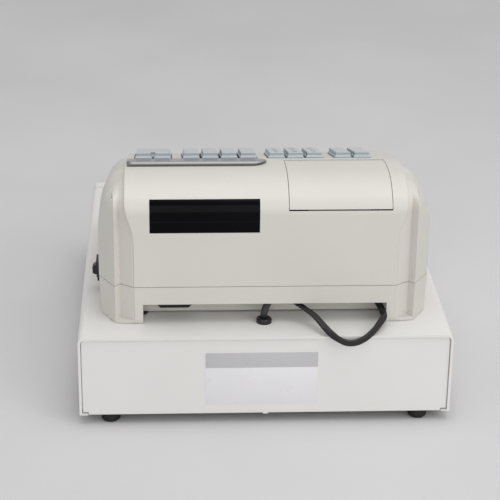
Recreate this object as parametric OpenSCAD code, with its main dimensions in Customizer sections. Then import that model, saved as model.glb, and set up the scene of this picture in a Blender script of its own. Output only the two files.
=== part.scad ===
// Electronic cash register that stands on its cash drawer.
// X runs to the operator's right, Y from the operator to the customer, Z up from the counter.
// The origin is the middle of the footprint, at counter level. Sizes are in millimetres.

/* [Cash drawer] */
// Width of the drawer case
case_w = 350; // [335:1:380]
// Depth of the case with the drawer front closed
case_d = 405; // [402:1:440]
// Height of the case above its rubber feet
case_h = 80; // [78:1:100]
// Thickness of the sheet steel
sheet_t = 1.2; // [0.8:0.1:1.6]
// Outer bend radius of the case's long top edges
case_r = 5.5; // [4:0.5:8]
// Thickness of the folded hem round the case's rear mouth
hem_t = 2.6; // [2:0.1:3.5]
// Depth of that hem
hem_len = 9; // [6:1:14]
// How far the rear panel stands inside the rear mouth
panel_inset = 1.6; // [0.5:0.1:4]
// Groove between the rear panel and the rim of the case
panel_gap = 0.7; // [0.3:0.1:1.2]
// Height of the drawer's rubber feet
foot_h = 10; // [6:1:14]
// Diameter of the drawer's rubber feet
foot_dia = 18; // [14:1:24]
// Distance of a foot's centre from the side of the case
foot_side = 29; // [24:1:60]
// Gap between a foot and the inside of the rear panel
foot_gap = 0.7; // [0.4:0.1:20]
// Thickness of the drawer's front panel
front_t = 16; // [14:1:18]
// Gap between the drawer front and the case's front edges
front_gap = 1.2; // [1:0.1:2]

/* [Drawer tray] */
// Space behind the tray, for the latch and its coil
tray_space = 49; // [46:1:60]
// Height of the steel tray
tray_h = 60; // [54:1:61]
// Height of the tray's floor above the case's base plate
tray_lift = 1.6; // [1:0.1:3]
// Height of the slide channel on the tray
runner_h = 22; // [16:1:26]
// Depth of the slide rail, from the case's side inwards
rail_depth = 9.4; // [8:0.1:12]
// Height of the slide's centre above the tray's floor
rail_level = 26; // [18:1:32]
// Height of the cash insert
insert_h = 50; // [46:1:56]
// Wall thickness of the cash insert
insert_wall = 2.4; // [2:0.1:3]
// Length of a bill compartment, front to rear
bill_len = 185; // [165:1:200]
// Length of a bill clip, from its pin to its foot
clip_len = 60; // [50:1:64]
// Width of a bill clip
clip_w = 14; // [10:1:20]
// Height of the clips' pins above the underside of the insert
clip_pin_h = 30; // [27:1:34]

/* [Lock and latch] */
// Diameter of the lock's barrel
lock_dia = 19; // [16:0.5:22]
// Diameter of the lock's turning plug
plug_dia = 12; // [10:0.5:14]
// Height of the lock's axis above the counter
lock_z = 52; // [46:1:54]
// How far the lock's collar stands out of the drawer front
lock_proud = 2; // [1:0.5:4]
// Length of the lock's cam from its axis to its tip
cam_len = 31; // [29:1:34]
// Thickness of the latch lever
latch_t = 3; // [2:0.5:4]
// Length of the latch lever from its pin to its nose
latch_len = 25; // [24:1:27]
// Angle of the released lever from its latched place
latch_turn = 12; // [10:1:14]
// Diameter of the latch's pin
latch_pin = 4; // [3:0.5:5]

/* [Register body] */
// Width of the register
reg_w = 312; // [300:1:330]
// Depth of the register
reg_d = 240; // [232:1:270]
// Height of the register's ridge above the drawer
reg_h = 137; // [132:1:150]
// Distance of the register's rear face from the rear edge of the drawer
setback = 30.4; // [26:0.2:60]
// Wall thickness of the plastic housings
wall = 2.5; // [2:0.1:3]
// Height of the parting line above the drawer
parting_h = 38; // [37:0.5:42]
// Width of the groove along the parting line
parting_gap = 0.5; // [0.3:0.1:0.8]
// Small radius where the rear face starts to turn over
rear_r = 20; // [16:1:26]
// Larger radius that carries the rear over the ridge
crown_r = 56; // [48:1:60]
// Rise, over a run of 3, of the direction in which the two rear radii meet
rear_rise = 4; // [3:0.1:5]
// Radius of the top from the ridge to the keyboard deck
top_r = 200; // [160:5:240]
// Rise of the keyboard deck over a depth of 24
deck_rise = 7; // [6:0.5:8]
// Radius of the rounded front
nose_r = 70; // [55:1:75]
// Height of the register's rubber feet
pad_t = 1.5; // [1:0.1:2.5]
// Clearance under the skirt of the lower housing
skirt_lift = 0.4; // [0.2:0.1:0.8]
// Diameter of the register's rubber feet
pad_dia = 16; // [12:1:20]

/* [Corners and shoulders] */
// Half width of the plane rear face
rear_half = 122.5; // [118:0.5:126]
// Half width of the raised top panel at the ridge
crown_half = 130.5; // [128:0.5:134]
// Step between the raised top panel and the cheeks beside it
cheek_step = 1; // [0.6:0.1:1.2]
// Height at which the edge of the top panel starts to swing outwards
swing_low = 80; // [74:1:86]
// Height at which it runs straight up again
swing_high = 124; // [118:1:128]
// Height of the shoulder's start on the side walls
shoulder_h = 82.6; // [76:0.2:85]
// Width of the inner corner facet
facet_w = 13; // [9:0.5:16]
// Depth of the inner corner facet
facet_d = 9; // [6:0.5:12]
// Width of the groove between the two facets
groove_w = 5; // [4:0.5:7]
// Depth that the groove runs back over its width
groove_d = 3.2; // [2.6:0.1:5]
// Depth of the outer corner facet's end behind the rear face
facet_end = 29; // [26:1:34]
// Radius of the front corners, seen from above
front_corner_r = 24; // [16:1:32]
// Inward lean of the side walls from the parting line down to the base
side_lean = 2; // [0:0.5:3]

/* [Connector bay] */
// Half width of the bay that is open to the rear and below
bay_half = 114.5; // [110:0.5:117]
// Depth of the bay from the rear face
bay_d = 26; // [25:0.5:34]
// Height of the bay's ceiling above the drawer
bay_top = 35; // [34:0.5:36]
// Height of the rear skirt's lower edge above the drawer
skirt_h = 20; // [16:1:22]
// Distance of the mains inlet's middle from the bay's side wall
inlet_in = 29.5; // [24:0.5:40]
// Width of the mains inlet's face
inlet_w = 36.6; // [34:0.2:40]
// Height of the mains inlet's face
inlet_h = 27; // [25:0.5:28]
// Height of the inlet face's lower edge above the drawer
inlet_z = 5.5; // [4.5:0.5:6.5]
// Distance of the drawer socket's middle from the bay's other side wall
jack_in = 11.5; // [10.5:0.5:20]
// Height of the drawer socket's centre above the drawer
jack_z = 22; // [18:1:24]

/* [Power switch] */
// Distance of the switch behind the register's rear face
switch_u = 80; // [66:1:120]
// Height of the switch's centre above the drawer
switch_z = 23.4; // [21:0.2:24]
// Width of the switch's flange
switch_w = 18; // [17:0.2:20]
// Height of the switch's flange
switch_h = 25.2; // [24.6:0.2:26]
// Thickness of the switch's flange
switch_flange = 1.5; // [1:0.1:2]
// Width of the rocker
rocker_w = 11; // [9:0.5:12]
// Height of the rocker
rocker_h = 17; // [14:0.5:17]
// How far the rocker's raised end stands out of the flange
rocker_proud = 4.5; // [3.5:0.1:5.5]
// Turn of the rocker between off and on
rocker_turn = 20; // [16:1:24]

/* [Printer] */
// Width of the printer cover
cover_w = 95; // [92:0.5:98]
// Place across of the printer's centre
printer_x = -68.4; // [-70:0.2:-66]
// Thickness of the cover's shell
cover_t = 2.2; // [1.8:0.1:2.6]
// Gap between the cover and the housing at the sides
cover_gap = 0.5; // [0.4:0.1:0.8]
// Height of the cover's lower rear edge above the drawer
cover_low = 114.5; // [113:0.5:117]
// Gap under that edge
cover_slit = 1.3; // [1:0.1:2]
// Distance of the cover's front edge behind the register's rear face
cover_front = 80; // [78:0.5:84]
// Width of the paper slot in front of the cover
paper_slot = 4.2; // [3.6:0.1:5]
// Distance of the hinge pins behind the rear face
hinge_in = 4.5; // [4.4:0.1:5]
// Height of the hinge pins above the cover's lower edge
hinge_up = 2.5; // [2.4:0.1:3]
// Diameter of the hinge pins
hinge_pin = 3; // [2.5:0.1:3.4]
// Width of the paper roll
paper_w = 57.5; // [56:0.5:60]
// Diameter of the full paper roll
roll_dia = 60; // [50:1:62]
// Diameter of the platen roller
platen_dia = 11; // [9:0.5:12]
// Diameter of the platen's shaft
shaft_dia = 4; // [3:0.5:5]

/* [Displays] */
// Width of the customer window
window_w = 101.6; // [90:0.2:104]
// Height of the customer window
window_h = 31.5; // [26:0.5:33]
// Place across of the customer window's centre
window_x = 56.8; // [54:0.2:60]
// Height of the customer window's centre above the drawer
window_z = 107.8; // [104:0.2:109]
// Thickness of the tinted windows
pane_t = 2; // [1.5:0.1:3]
// How far the customer window lies below the housing's rear face
pane_inset = 0.6; // [0.3:0.1:1]
// Place across of the lens's rounded end
lens_from = -3.5; // [-8:0.5:4]
// Place across of the lens's straight end
lens_to = 129; // [124:0.5:131]
// Distance of the lens's rear edge behind the rear face
lens_rear = 57; // [52:0.5:59]
// Distance of the lens's front edge behind the rear face
lens_front = 95; // [93:0.5:97]
// How far the lens's rear edge stands above the housing
lens_lift = 3.3; // [2.5:0.1:4.5]
// How far the lens's front edge stands above the housing
lens_drop = 0.8; // [0.5:0.1:1.5]
// Radius of the lens's rounded end
lens_r = 18; // [14:1:18]
// Width of the sloping rims of the lens
lens_rim = 2.4; // [1.5:0.1:3.5]

/* [Keyboard] */
// Pitch of the keys
key_pitch = 18.4; // [18:0.1:19]
// Gap between two neighbouring keys
key_gap = 2; // [1.6:0.1:2.4]
// Extra gap between two blocks of keys
block_gap = 9.4; // [8:0.2:11]
// Place across of the keyboard's centre
keys_x = 7.6; // [4:0.2:10]
// Distance of the rear key row behind the register's rear face
keys_u = 112; // [110:0.5:116]
// Height of a key above the deck
key_up = 5.5; // [4.5:0.1:7]
// Travel of a key
key_travel = 3; // [2:0.1:3.6]
// Thickness of the key guide frame
guide_t = 2; // [1.6:0.1:3]
// Diameter of a key's stem
stem_dia = 7; // [6:0.2:8]
// Distance of the circuit board below the deck
board_below = 20; // [19:0.5:24]

/* [Power supply and display boards] */
// Width of the power supply's base plate
supply_w = 64; // [58:1:72]
// Depth of the power supply's base plate
supply_d = 44; // [42:1:50]
// Height of the transformer's core
core_h = 34; // [26:1:38]
// Depth of the transformer's core
core_d = 20; // [16:1:24]
// Place across of the power supply's inner edge
supply_x = 66; // [50:1:74]
// Distance of the power supply's front edge behind the register's rear face
supply_u = 102; // [98:1:120]
// Height of the customer display's board
tube_board_h = 34; // [30:1:36]
// Depth of the operator display's board
lens_board_d = 38; // [30:1:40]
// Distance of the customer display's board behind the rear face
tube_board_u = 13; // [11:0.5:16]
// Thickness of the circuit boards
circuit_t = 1.6; // [1:0.1:2]

/* [Drawer cable] */
// Width of the flat cable
cable_w = 6.5; // [5:0.5:7]
// Thickness of the flat cable
cable_t = 2.8; // [2:0.1:3.2]
// Place across of the grommet
grommet_x = 0.8; // [-6:0.2:6]
// Distance of the grommet from the rear edge of the drawer
grommet_y = 32.8; // [31:0.2:36]
// Diameter of the grommet
grommet_dia = 14.5; // [12:0.5:18]
// Height of the grommet above the drawer
grommet_h = 4.6; // [3:0.2:6]

/* [Fits] */
// Clearance between parts that slide past each other
slide_gap = 0.3; // [0.2:0.05:0.4]
// Radial clearance of a pin in its bore
pin_gap = 0.05; // [0.02:0.01:0.08]
// Clearance round a fixed insert in its cut-out
seat_gap = 0.2; // [0.1:0.05:0.3]

/* [Hidden] */
$fn = 64;
eps = 0.01;
big = 400;

// Heights and edges of the drawer
case_top = foot_h + case_h;
rear_y = (case_d + lock_proud) / 2;
front_y = rear_y - case_d;
fascia_back = front_y + front_t;
case_front = fascia_back + front_gap;
base_top = foot_h + 2 * sheet_t;
foot_in = panel_inset + sheet_t + foot_gap + foot_dia / 2;
case_in = case_w / 2 - sheet_t;
flange_in = 7;
front_flange = 9;

// Tray, slides and insert
tray_z = base_top + tray_lift;
tray_half = case_in - rail_depth - 3 * slide_gap;
tray_d = case_d - front_t - tray_space;
tray_rear = fascia_back + tray_d;
rail_z = tray_z + rail_level;
cam_room = 14;
insert_half = tray_half - sheet_t - 2 * slide_gap;
insert_front = fascia_back + sheet_t + cam_room;
insert_rear = tray_rear - sheet_t - 2 * slide_gap;
insert_z = tray_z + sheet_t;
bill_cols = 4;
cup_rows = 2;
col_w = (2 * insert_half - (bill_cols + 1) * insert_wall) / bill_cols;
cup_len = (insert_rear - insert_front - bill_len - (cup_rows + 2) * insert_wall) / cup_rows;
bill_rear = insert_rear - insert_wall;
clip_pin = 3;
clip_lug = 3;
clip_y = bill_rear - 7;
clip_z = insert_z + clip_pin_h;
clip_foot_r = 3;
clip_drop = asin((clip_pin_h - insert_wall - clip_foot_r - slide_gap) / clip_len);

// Lock and latch
barrel_rear = fascia_back + sheet_t + 2;
cam_t = 2.5;
latch_x = -20;
latch_z = 30;
strike_pin = 5;
strike_y = tray_rear + 10;
latch_y = strike_y + 18.5;
coil_x = latch_x + 28;
coil_r = 10;
strike_x = latch_x + 7;

// Places of the register
reg_y = rear_y - setback;
post_r = 4;
post_rear_x = 140;
post_front_x = 108;
post_rear_y = -45;
post_front_y = -200;
post_at = [for (s = [-1, 1]) each [[s * post_rear_x, post_rear_y], [s * post_front_x, post_front_y]]];

// Windows, switch, sockets and the openings behind them
window_low = window_z - window_h / 2;
window_high = window_z + window_h / 2;
ledge = 2;
show_land = 5;
show_x = [lens_from + lens_r - 0.5, lens_to - lens_r + 1];
show_u = [lens_rear + show_land, lens_front - show_land];
inlet_x = bay_half - inlet_in;
jack_x = jack_in - bay_half;
rocker_pin = 2.4;
switch_cut = [switch_w / 2 - 2, switch_h / 2 - 2];
inlet_cut = [27, 20];
jack_cut = [14, 12];
plug_size = [11.6, 21, 6.8];
plug_in = 12;

// Centres and heights of the arcs of the side profile, in [-u, h]
rear_turn = atan(rear_rise / 3);
deck_slope = atan(deck_rise / 24);
arc_rear = [-rear_r, reg_h - crown_r + (crown_r - rear_r) * sin(rear_turn)];
arc_crown = [-rear_r - (crown_r - rear_r) * cos(rear_turn), reg_h - crown_r];
arc_top = [arc_crown[0], reg_h - top_r];
deck_rear_u = -arc_top[0] + top_r * sin(deck_slope);
deck_rear_h = arc_top[1] + top_r * cos(deck_slope);
nose_u = reg_d - nose_r;
nose_h = round(1000 * (deck_rear_h - nose_r * cos(deck_slope)
    - tan(deck_slope) * (nose_u + nose_r * sin(deck_slope) - deck_rear_u))) / 1000;
arc_nose = [-nose_u, nose_h];

// Shoulder arcs, in [x, h]
side_half = reg_w / 2;
sh_r = [100, 30, 90];
sh_turn = [atan(7 / 24), atan(117 / 44), atan(24 / 7)];
sh_1 = [side_half - sh_r[0], shoulder_h];
sh_2 = sh_1 + (sh_r[0] - sh_r[1]) * [cos(sh_turn[0]), sin(sh_turn[0])];
sh_3 = sh_2 + (sh_r[1] - sh_r[2]) * [cos(sh_turn[1]), sin(sh_turn[1])];

// Tops of the rear and front screw posts, in the middle of the shell above them
post_top = [sh_2[1] + sqrt(pow(sh_r[1] - 1.2, 2) - pow(post_rear_x + post_r - sh_2[0], 2)),
    nose_h + sqrt(pow(nose_r - cheek_step - 1.2, 2) - pow(post_r - post_front_y - nose_u, 2))];

// Printer
hinge_u = hinge_in;
hinge_h = cover_low + hinge_up;
swing_r = norm([hinge_in, hinge_up]);
open_half = cover_w / 2 + cover_gap;
cheek_t = 2.4;
roll_u = 38;
bucket_h = 96;
bucket_gap = 2;
bucket_t = 2;
roll_h = bucket_h - bucket_gap + slide_gap;
platen_u = cover_front - 5;
platen_h = surface_h(platen_u) - cover_t - platen_dia / 2 - 1.6;
platen_w = paper_w + 1.5;
core_dia = 17;

// Keyboard
key_w = key_pitch - key_gap;
blocks = [2, 3, 4, 2];
rows = 4;
keys_w = 11 * key_pitch + 3 * block_gap;
block_x = [for (b = [0:3]) keys_x - keys_w / 2 + b * block_gap
    + key_pitch * (b == 0 ? 0 : b == 1 ? 2 : b == 2 ? 5 : 9)];
guide_z = -9;
frame_post_x = [for (b = [1:3]) block_x[b] - block_gap / 2];
frame_post_y = [2, -(rows - 1) * key_pitch - 2];

// The flat cable, from the grommet to the plug. Places are [x across, y from the drawer's rear
// edge, z from its top]. Each stop is a distance from the straight line between the two ends,
// and the direction of the cable's width.
cable_from = [grommet_x, -grommet_y, grommet_h - 1];
cable_to = [jack_x, plug_size[1] - plug_in - bay_d - setback + 1.4, jack_z];
cable_route = [
    [[0, 0, 0], [1, 0, 0]], [[5, 0.5, 4.5], [1, 0, 0]], [[8, -1, 9.5], [1, -0.3, 0.4]],
    [[8, -3, 15], [0.8, -0.8, 0.6]], [[5, -4.5, 16.5], [0, -1, 0]],
    [[1, -3.5, 13.5], [-0.2, -1, 0]], [[-2, 1, 8.5], [-0.6, -1, 0]],
    [[-5, 9.5, 5], [-0.7, -1, 0]], [[-7.5, 19.5, 1.5], [-0.7, -1, 0.2]],
    [[-8.5, 30, -3], [-0.6, -1, 0.4]], [[-9.5, 40, -7.5], [-0.2, -1, 1]],
    [[-11.5, 45.5, -12.5], [0, 0.1, 1]], [[-15.5, 47, -17.5], [0, 0.1, 1]],
    [[-19.5, 47.5, -18], [0, 0, 1]], [[-23.5, 45.5, -15.5], [0.3, 0, 1]],
    [[-26.5, 40, -12], [0.5, 0, 1]], [[-27.5, 32, -10], [0.8, 0, 0.8]],
    [[-27.5, 22.5, -9], [1, 0, 0.3]], [[-23, 15.5, -8.5], [1, -0.1, 0]],
    [[-16, 9, -6], [1, -0.2, 0]], [[-7.5, 4.5, -2.5], [1, -0.1, 0]], [[0, 0, 0], [1, 0, 0]]
];
cable_steps = 3;

// ---------- Shared shapes ----------

// Lays a [y, z] outline along X, starting at x = from
module along_x(from, len) translate([from, 0, 0]) rotate([90, 0, 90]) linear_extrude(len) children();

// Lays an [x, z] outline towards the operator, starting at y = from
module along_y(from, len) translate([0, from, 0]) rotate([90, 0, 0]) linear_extrude(len) children();

// A box given by its two corners
module box(low, high) translate(low) cube(high - low);

// A layer of everything between two heights
module layer(low, high) box([-big, -big, low], [big, big, high]);

// Point on an arc
function arc_at(c, r, a) = c + r * [cos(a), sin(a)];

// The bow of a disc between two angles, with a little more than its sagitta below it
module arc_bow(c, r, a0, a1) {
    below = floor(r * cos((a1 - a0) / 2)) - 1;
    intersection() {
        translate(c) circle(r, $fn = 96 + round(1.5 * r));
        polygon([arc_at(c, below, a0), arc_at(c, 2 * r, a0), arc_at(c, 2 * r, (a0 + a1) / 2),
            arc_at(c, 2 * r, a1), arc_at(c, below, a1)]);
    }
}

// Rectangle from the ground up, round at its two upper corners
module arch(half, low, high, r) {
    translate([-half, low]) square([2 * half, high - low - r]);
    translate([r - half, high - r - 1]) square([2 * (half - r), r + 1]);
    for (s = [-1, 1]) translate([s * (half - r), high - r]) circle(r);
}

// Cylinder along X, from one end
module rod_x(r, len) rotate([0, 90, 0]) cylinder(r = r, h = len);

// Cylinder towards +Y, from one end
module rod_y(r, len) rotate([-90, 0, 0]) cylinder(r = r, h = len);

// ---------- The drawer ----------

module drawer_case() color("gainsboro") {
    depth = rear_y - case_front;
    difference() {
        along_y(rear_y, depth) arch(case_w / 2, foot_h, case_top, case_r);
        along_y(rear_y + 1, depth + 2)
            arch(case_in, foot_h - 1, case_top - sheet_t, case_r - sheet_t);
        translate([grommet_x, rear_y - grommet_y, case_top - 5])
            cylinder(r = grommet_dia / 2 - 2, h = 10);
    }
    // Hem round the rear mouth
    difference() {
        along_y(rear_y, hem_len) arch(case_w / 2 - eps, foot_h, case_top - eps, case_r - eps);
        along_y(rear_y + 1, hem_len + 2)
            arch(case_w / 2 - hem_t, foot_h - 1, case_top - hem_t, case_r - hem_t);
    }
    // Lower flanges that carry the base plate
    for (s = [0, 1]) mirror([s, 0, 0])
        box([case_in - flange_in, case_front, foot_h], [case_in + eps, rear_y, foot_h + sheet_t]);
    // Front flange that the lock's cam catches behind
    box([-case_in, case_front, case_top - sheet_t - front_flange],
        [case_in, case_front + sheet_t, case_top - sheet_t + eps]);
}

module drawer_rear_panel() color("whitesmoke") {
    half = case_w / 2 - hem_t - panel_gap;
    top = case_top - hem_t - panel_gap;
    r = case_r - hem_t;
    low = base_top + seat_gap;
    outer = rear_y - panel_inset;
    apron = case_in - flange_in - 2 * seat_gap;
    difference() {
        along_y(outer, hem_len - 1) arch(half, low, top, r);
        along_y(outer - sheet_t, hem_len)
            arch(half - sheet_t, low + sheet_t, top - sheet_t, r - sheet_t / 2);
    }
    // Apron that covers the edge of the base plate, and the nub of the spot weld below it
    box([-apron, outer - sheet_t, foot_h], [apron, outer, low + 1]);
    box([-2.5, outer - sheet_t, foot_h - 1.2], [2.5, outer, foot_h + 1]);
}

module drawer_base() color("silver") difference() {
    half = case_w / 2 - max(hem_t, sheet_t) - seat_gap;
    box([-half, case_front + sheet_t + seat_gap, foot_h + sheet_t],
        [half, rear_y - panel_inset - sheet_t - seat_gap, base_top]);
    // Slots that drain and air the case
    for (x = [-100:40:100])
        box([x - 12, -30, foot_h], [x + 12, -26, base_top + 1]);
}

module drawer_feet() color("dimgray")
    for (x = [-1, 1], y = [case_front + foot_in + 8, rear_y - foot_in])
        translate([x * (case_w / 2 - foot_side), y, 0]) difference() {
            union() {
                cylinder(r1 = foot_dia / 2 - 1.5, r2 = foot_dia / 2, h = 2);
                translate([0, 0, 2 - eps]) cylinder(r = foot_dia / 2, h = foot_h + sheet_t - 2 + eps);
            }
            translate([0, 0, -1]) cylinder(r = 3.5, h = 5);
        }

module slide_rails() color("silver") {
    half_h = runner_h / 2 + slide_gap + sheet_t;
    for (s = [0, 1]) mirror([s, 0, 0]) difference() {
        box([case_in - rail_depth, case_front + 3, rail_z - half_h],
            [case_in, case_front + 3 + tray_d, rail_z + half_h]);
        box([case_in - rail_depth - 1, case_front + 2, rail_z - half_h + sheet_t],
            [case_in - sheet_t, case_front + 4 + tray_d, rail_z + half_h - sheet_t]);
    }
}

module drawer_tray() color("lightgray") {
    difference() {
        box([-tray_half, fascia_back, tray_z], [tray_half, tray_rear, tray_z + tray_h]);
        box([-tray_half + sheet_t, fascia_back + sheet_t, tray_z + sheet_t],
            [tray_half - sheet_t, tray_rear - sheet_t, tray_z + tray_h + 1]);
        translate([0, fascia_back - 1, lock_z]) rod_y(lock_dia / 2 + seat_gap, 4);
    }
    // Slide channels welded to the sides
    runner_d = rail_depth - sheet_t + 2 * slide_gap;
    for (s = [0, 1]) mirror([s, 0, 0]) difference() {
        box([tray_half - eps, fascia_back + 8, rail_z - runner_h / 2],
            [tray_half + runner_d, tray_rear, rail_z + runner_h / 2]);
        box([tray_half + sheet_t, fascia_back + 7, rail_z - runner_h / 2 + sheet_t],
            [tray_half + runner_d + 1, tray_rear + 1, rail_z + runner_h / 2 - sheet_t]);
    }
    // Striker bracket on the rear wall, with the stud that the latch holds
    foot = tray_rear + 0.1;
    box([strike_x - 6, foot, latch_z - 15], [strike_x + 6, foot + 2, latch_z - 6]);
    box([strike_x - 6, foot, latch_z - 8], [strike_x + 6, strike_y + 4, latch_z - 6]);
    translate([strike_x, strike_y, latch_z - 7]) cylinder(r = strike_pin / 2, h = 12);
}

module drawer_front() color("whitesmoke") difference() {
    edge = 3;
    rim = 12;
    intersection() {
        along_y(fascia_back, front_t) arch(case_w / 2, foot_h, case_top, case_r);
        along_x(-case_w / 2, case_w) {
            translate([front_y + edge, foot_h]) square([front_t - edge, case_h]);
            translate([front_y, foot_h + edge]) square([front_t, case_h - 2 * edge]);
            for (z = [foot_h + edge, case_top - edge]) translate([front_y + edge, z]) circle(edge);
        }
        linear_extrude(case_top + 1) {
            translate([-case_w / 2, front_y + edge]) square([case_w, front_t - edge]);
            translate([edge - case_w / 2, front_y]) square([case_w - 2 * edge, front_t]);
            for (s = [-1, 1]) translate([s * (case_w / 2 - edge), front_y + edge]) circle(edge);
        }
    }
    // Hollow of the folded sheet, and the mouth between its rear lips
    box([edge - case_w / 2, front_y + sheet_t, foot_h + edge],
        [case_w / 2 - edge, fascia_back - sheet_t, case_top - edge]);
    box([rim - case_w / 2 + 2, front_y + sheet_t, foot_h + rim],
        [case_w / 2 - rim - 2, fascia_back + 1, tray_z + tray_h - 4]);
    translate([0, front_y - 1, lock_z]) rod_y(lock_dia / 2 + seat_gap, front_t);
}

// Left edge of a column of the cash insert
function col_x(n) = -insert_half + insert_wall + n * (col_w + insert_wall);

module cash_insert() color("dimgray") {
    bill_y = bill_rear - bill_len;
    difference() {
        box([-insert_half, insert_front, insert_z], [insert_half, insert_rear, insert_z + insert_h]);
        for (n = [0:bill_cols - 1]) {
            box([col_x(n), bill_y, insert_z + insert_wall],
                [col_x(n) + col_w, bill_rear, insert_z + insert_h + 1]);
            // Coin cups with round bottoms
            for (m = [0:cup_rows - 1]) {
                y = insert_front + insert_wall + m * (cup_len + insert_wall) + cup_len / 2;
                z = insert_z + insert_wall + cup_len / 2;
                intersection() {
                    translate([col_x(n), y, z]) rod_x(cup_len / 2, col_w);
                    box([-big, -big, 0], [big, big, z + eps]);
                }
                box([col_x(n), y - cup_len / 2, z],
                    [col_x(n) + col_w, y + cup_len / 2, insert_z + insert_h + 1]);
            }
        }
    }
    // Lugs that carry the bill clips
    for (n = [0:bill_cols - 1], s = [-1, 1])
        translate([col_x(n) + col_w / 2 + s * (clip_w / 2 + slide_gap + clip_lug / 2), 0, 0])
            difference() {
                along_x(-clip_lug / 2, clip_lug) {
                    translate([clip_y, clip_z]) circle(4.5);
                    translate([clip_y, clip_z - 4.5]) square([bill_rear + 1 - clip_y, 9]);
                }
                translate([-clip_lug, clip_y, clip_z]) rod_x(clip_pin / 2 + pin_gap, 2 * clip_lug);
            }
}

// One bill clip, lying on the floor of its compartment
module bill_clip(n) color("gray") {
    pin_len = clip_w + 2 * slide_gap + 2 * clip_lug;
    translate([col_x(n) + col_w / 2, clip_y, clip_z]) {
        translate([-pin_len / 2, 0, 0]) rod_x(clip_pin / 2, pin_len);
        rotate([clip_drop, 0, 0]) {
            translate([-clip_w / 2, 0, 0]) rod_x(3.6, clip_w);
            box([-clip_w / 2, -clip_len, -1.2], [clip_w / 2, 0, 1.2]);
            box([-2, -clip_len, 0], [2, 0, 2.6]);
            translate([-clip_w / 2 - 4, -clip_len, 0]) rod_x(clip_foot_r, clip_w + 8);
        }
    }
}

module lock_body() color("silver") translate([0, 0, lock_z]) difference() {
    union() {
        translate([0, front_y - lock_proud, 0]) rod_y(lock_dia / 2 + 2.5, lock_proud);
        translate([0, front_y - eps, 0]) rod_y(lock_dia / 2, barrel_rear - front_y);
    }
    translate([0, front_y - lock_proud - 1, 0])
        rod_y(plug_dia / 2 + pin_gap, barrel_rear - front_y + lock_proud + 2);
}

module lock_cylinder() color("darkgray") translate([0, 0, lock_z]) {
    face = front_y - lock_proud + 0.5;
    difference() {
        translate([0, face, 0]) rod_y(plug_dia / 2, barrel_rear + slide_gap - face);
        box([-0.7, face - 1, -3.5], [0.7, face + 8, 3.5]);
    }
    // Cam, lying to the side while the lock is open
    translate([0, barrel_rear + slide_gap - eps, 0]) {
        rod_y(plug_dia / 2 + 1, cam_t);
        box([0, 0, -5], [cam_len, cam_t, 5]);
    }
}

module latch_lever() color("goldenrod") translate([latch_x, latch_y, latch_z - latch_t / 2])
    rotate([0, 0, -latch_turn]) difference() {
        tail = coil_x - latch_x + 6;
        union() {
            cylinder(r = 6, h = latch_t);
            box([-4, -latch_len, 0], [4, 0, latch_t]);
            box([-4, -latch_len, 0], [8.5, strike_y - strike_pin / 2 - slide_gap - latch_y, latch_t]);
            box([0, -2, 0], [tail, 2, latch_t]);
            box([tail - 13, -2, -7], [tail, 0, latch_t + 7]);
        }
        translate([0, 0, -1]) cylinder(r = latch_pin / 2 + pin_gap, h = latch_t + 2);
    }

module solenoid() color("peru") {
    foot_y = tray_rear + 4;
    tail_y = latch_y - 2 - (coil_x - latch_x) * sin(latch_turn);
    core_y = tail_y - 1.3;
    top = latch_z + coil_r + 2;
    // Base plate with an upright that holds the coil
    box([latch_x - 8, foot_y, base_top], [coil_x + 14, latch_y + 5, base_top + 2]);
    box([coil_x - 12, foot_y, base_top], [coil_x + 12, foot_y + 2, top]);
    translate([coil_x, foot_y + 1, latch_z]) rod_y(coil_r, core_y - foot_y - 2.5);
    translate([coil_x, foot_y + 1, latch_z]) rod_y(3.5, core_y - foot_y - 1);
    // Pin of the latch lever and its collar
    translate([latch_x, latch_y, base_top]) {
        cylinder(r = latch_pin / 2, h = latch_z + latch_t + 3 - base_top);
        cylinder(r = 5, h = latch_z - latch_t / 2 - slide_gap - base_top);
    }
}

module cable_grommet() color("black")
    translate([grommet_x, rear_y - grommet_y, case_top]) difference() {
        neck = grommet_dia / 2 - 2 - seat_gap;
        union() {
            cylinder(r = grommet_dia / 2, h = grommet_h - 1);
            translate([0, 0, grommet_h - 1 - eps])
                cylinder(r1 = grommet_dia / 2, r2 = grommet_dia / 2 - 1, h = 1 + eps);
            translate([0, 0, -sheet_t - eps]) cylinder(r = neck, h = sheet_t + 2 * eps);
            translate([0, 0, -sheet_t - 2]) cylinder(r = grommet_dia / 2 - 1, h = 2);
        }
        translate([0, 0, grommet_h - 1]) cylinder(r = grommet_dia / 2 - 2.6, h = 2);
    }

// ---------- The flat cable ----------

function unit(v) = v / norm(v);
function curve(a, b, c, d, t) = 0.5 * (2 * b + (c - a) * t + (2 * a - 5 * b + 4 * c - d) * t * t
    + (3 * b - a - 3 * c + d) * t * t * t);
function stop(k) =
    let (last = len(cable_route) - 1, n = min(max(k, 0), last))
    [cable_from + (cable_to - cable_from) * n / last + cable_route[n][0], cable_route[n][1]];
function route_at(k, t, what) =
    curve(stop(k - 1)[what], stop(k)[what], stop(k + 1)[what], stop(k + 2)[what], t);

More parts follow.
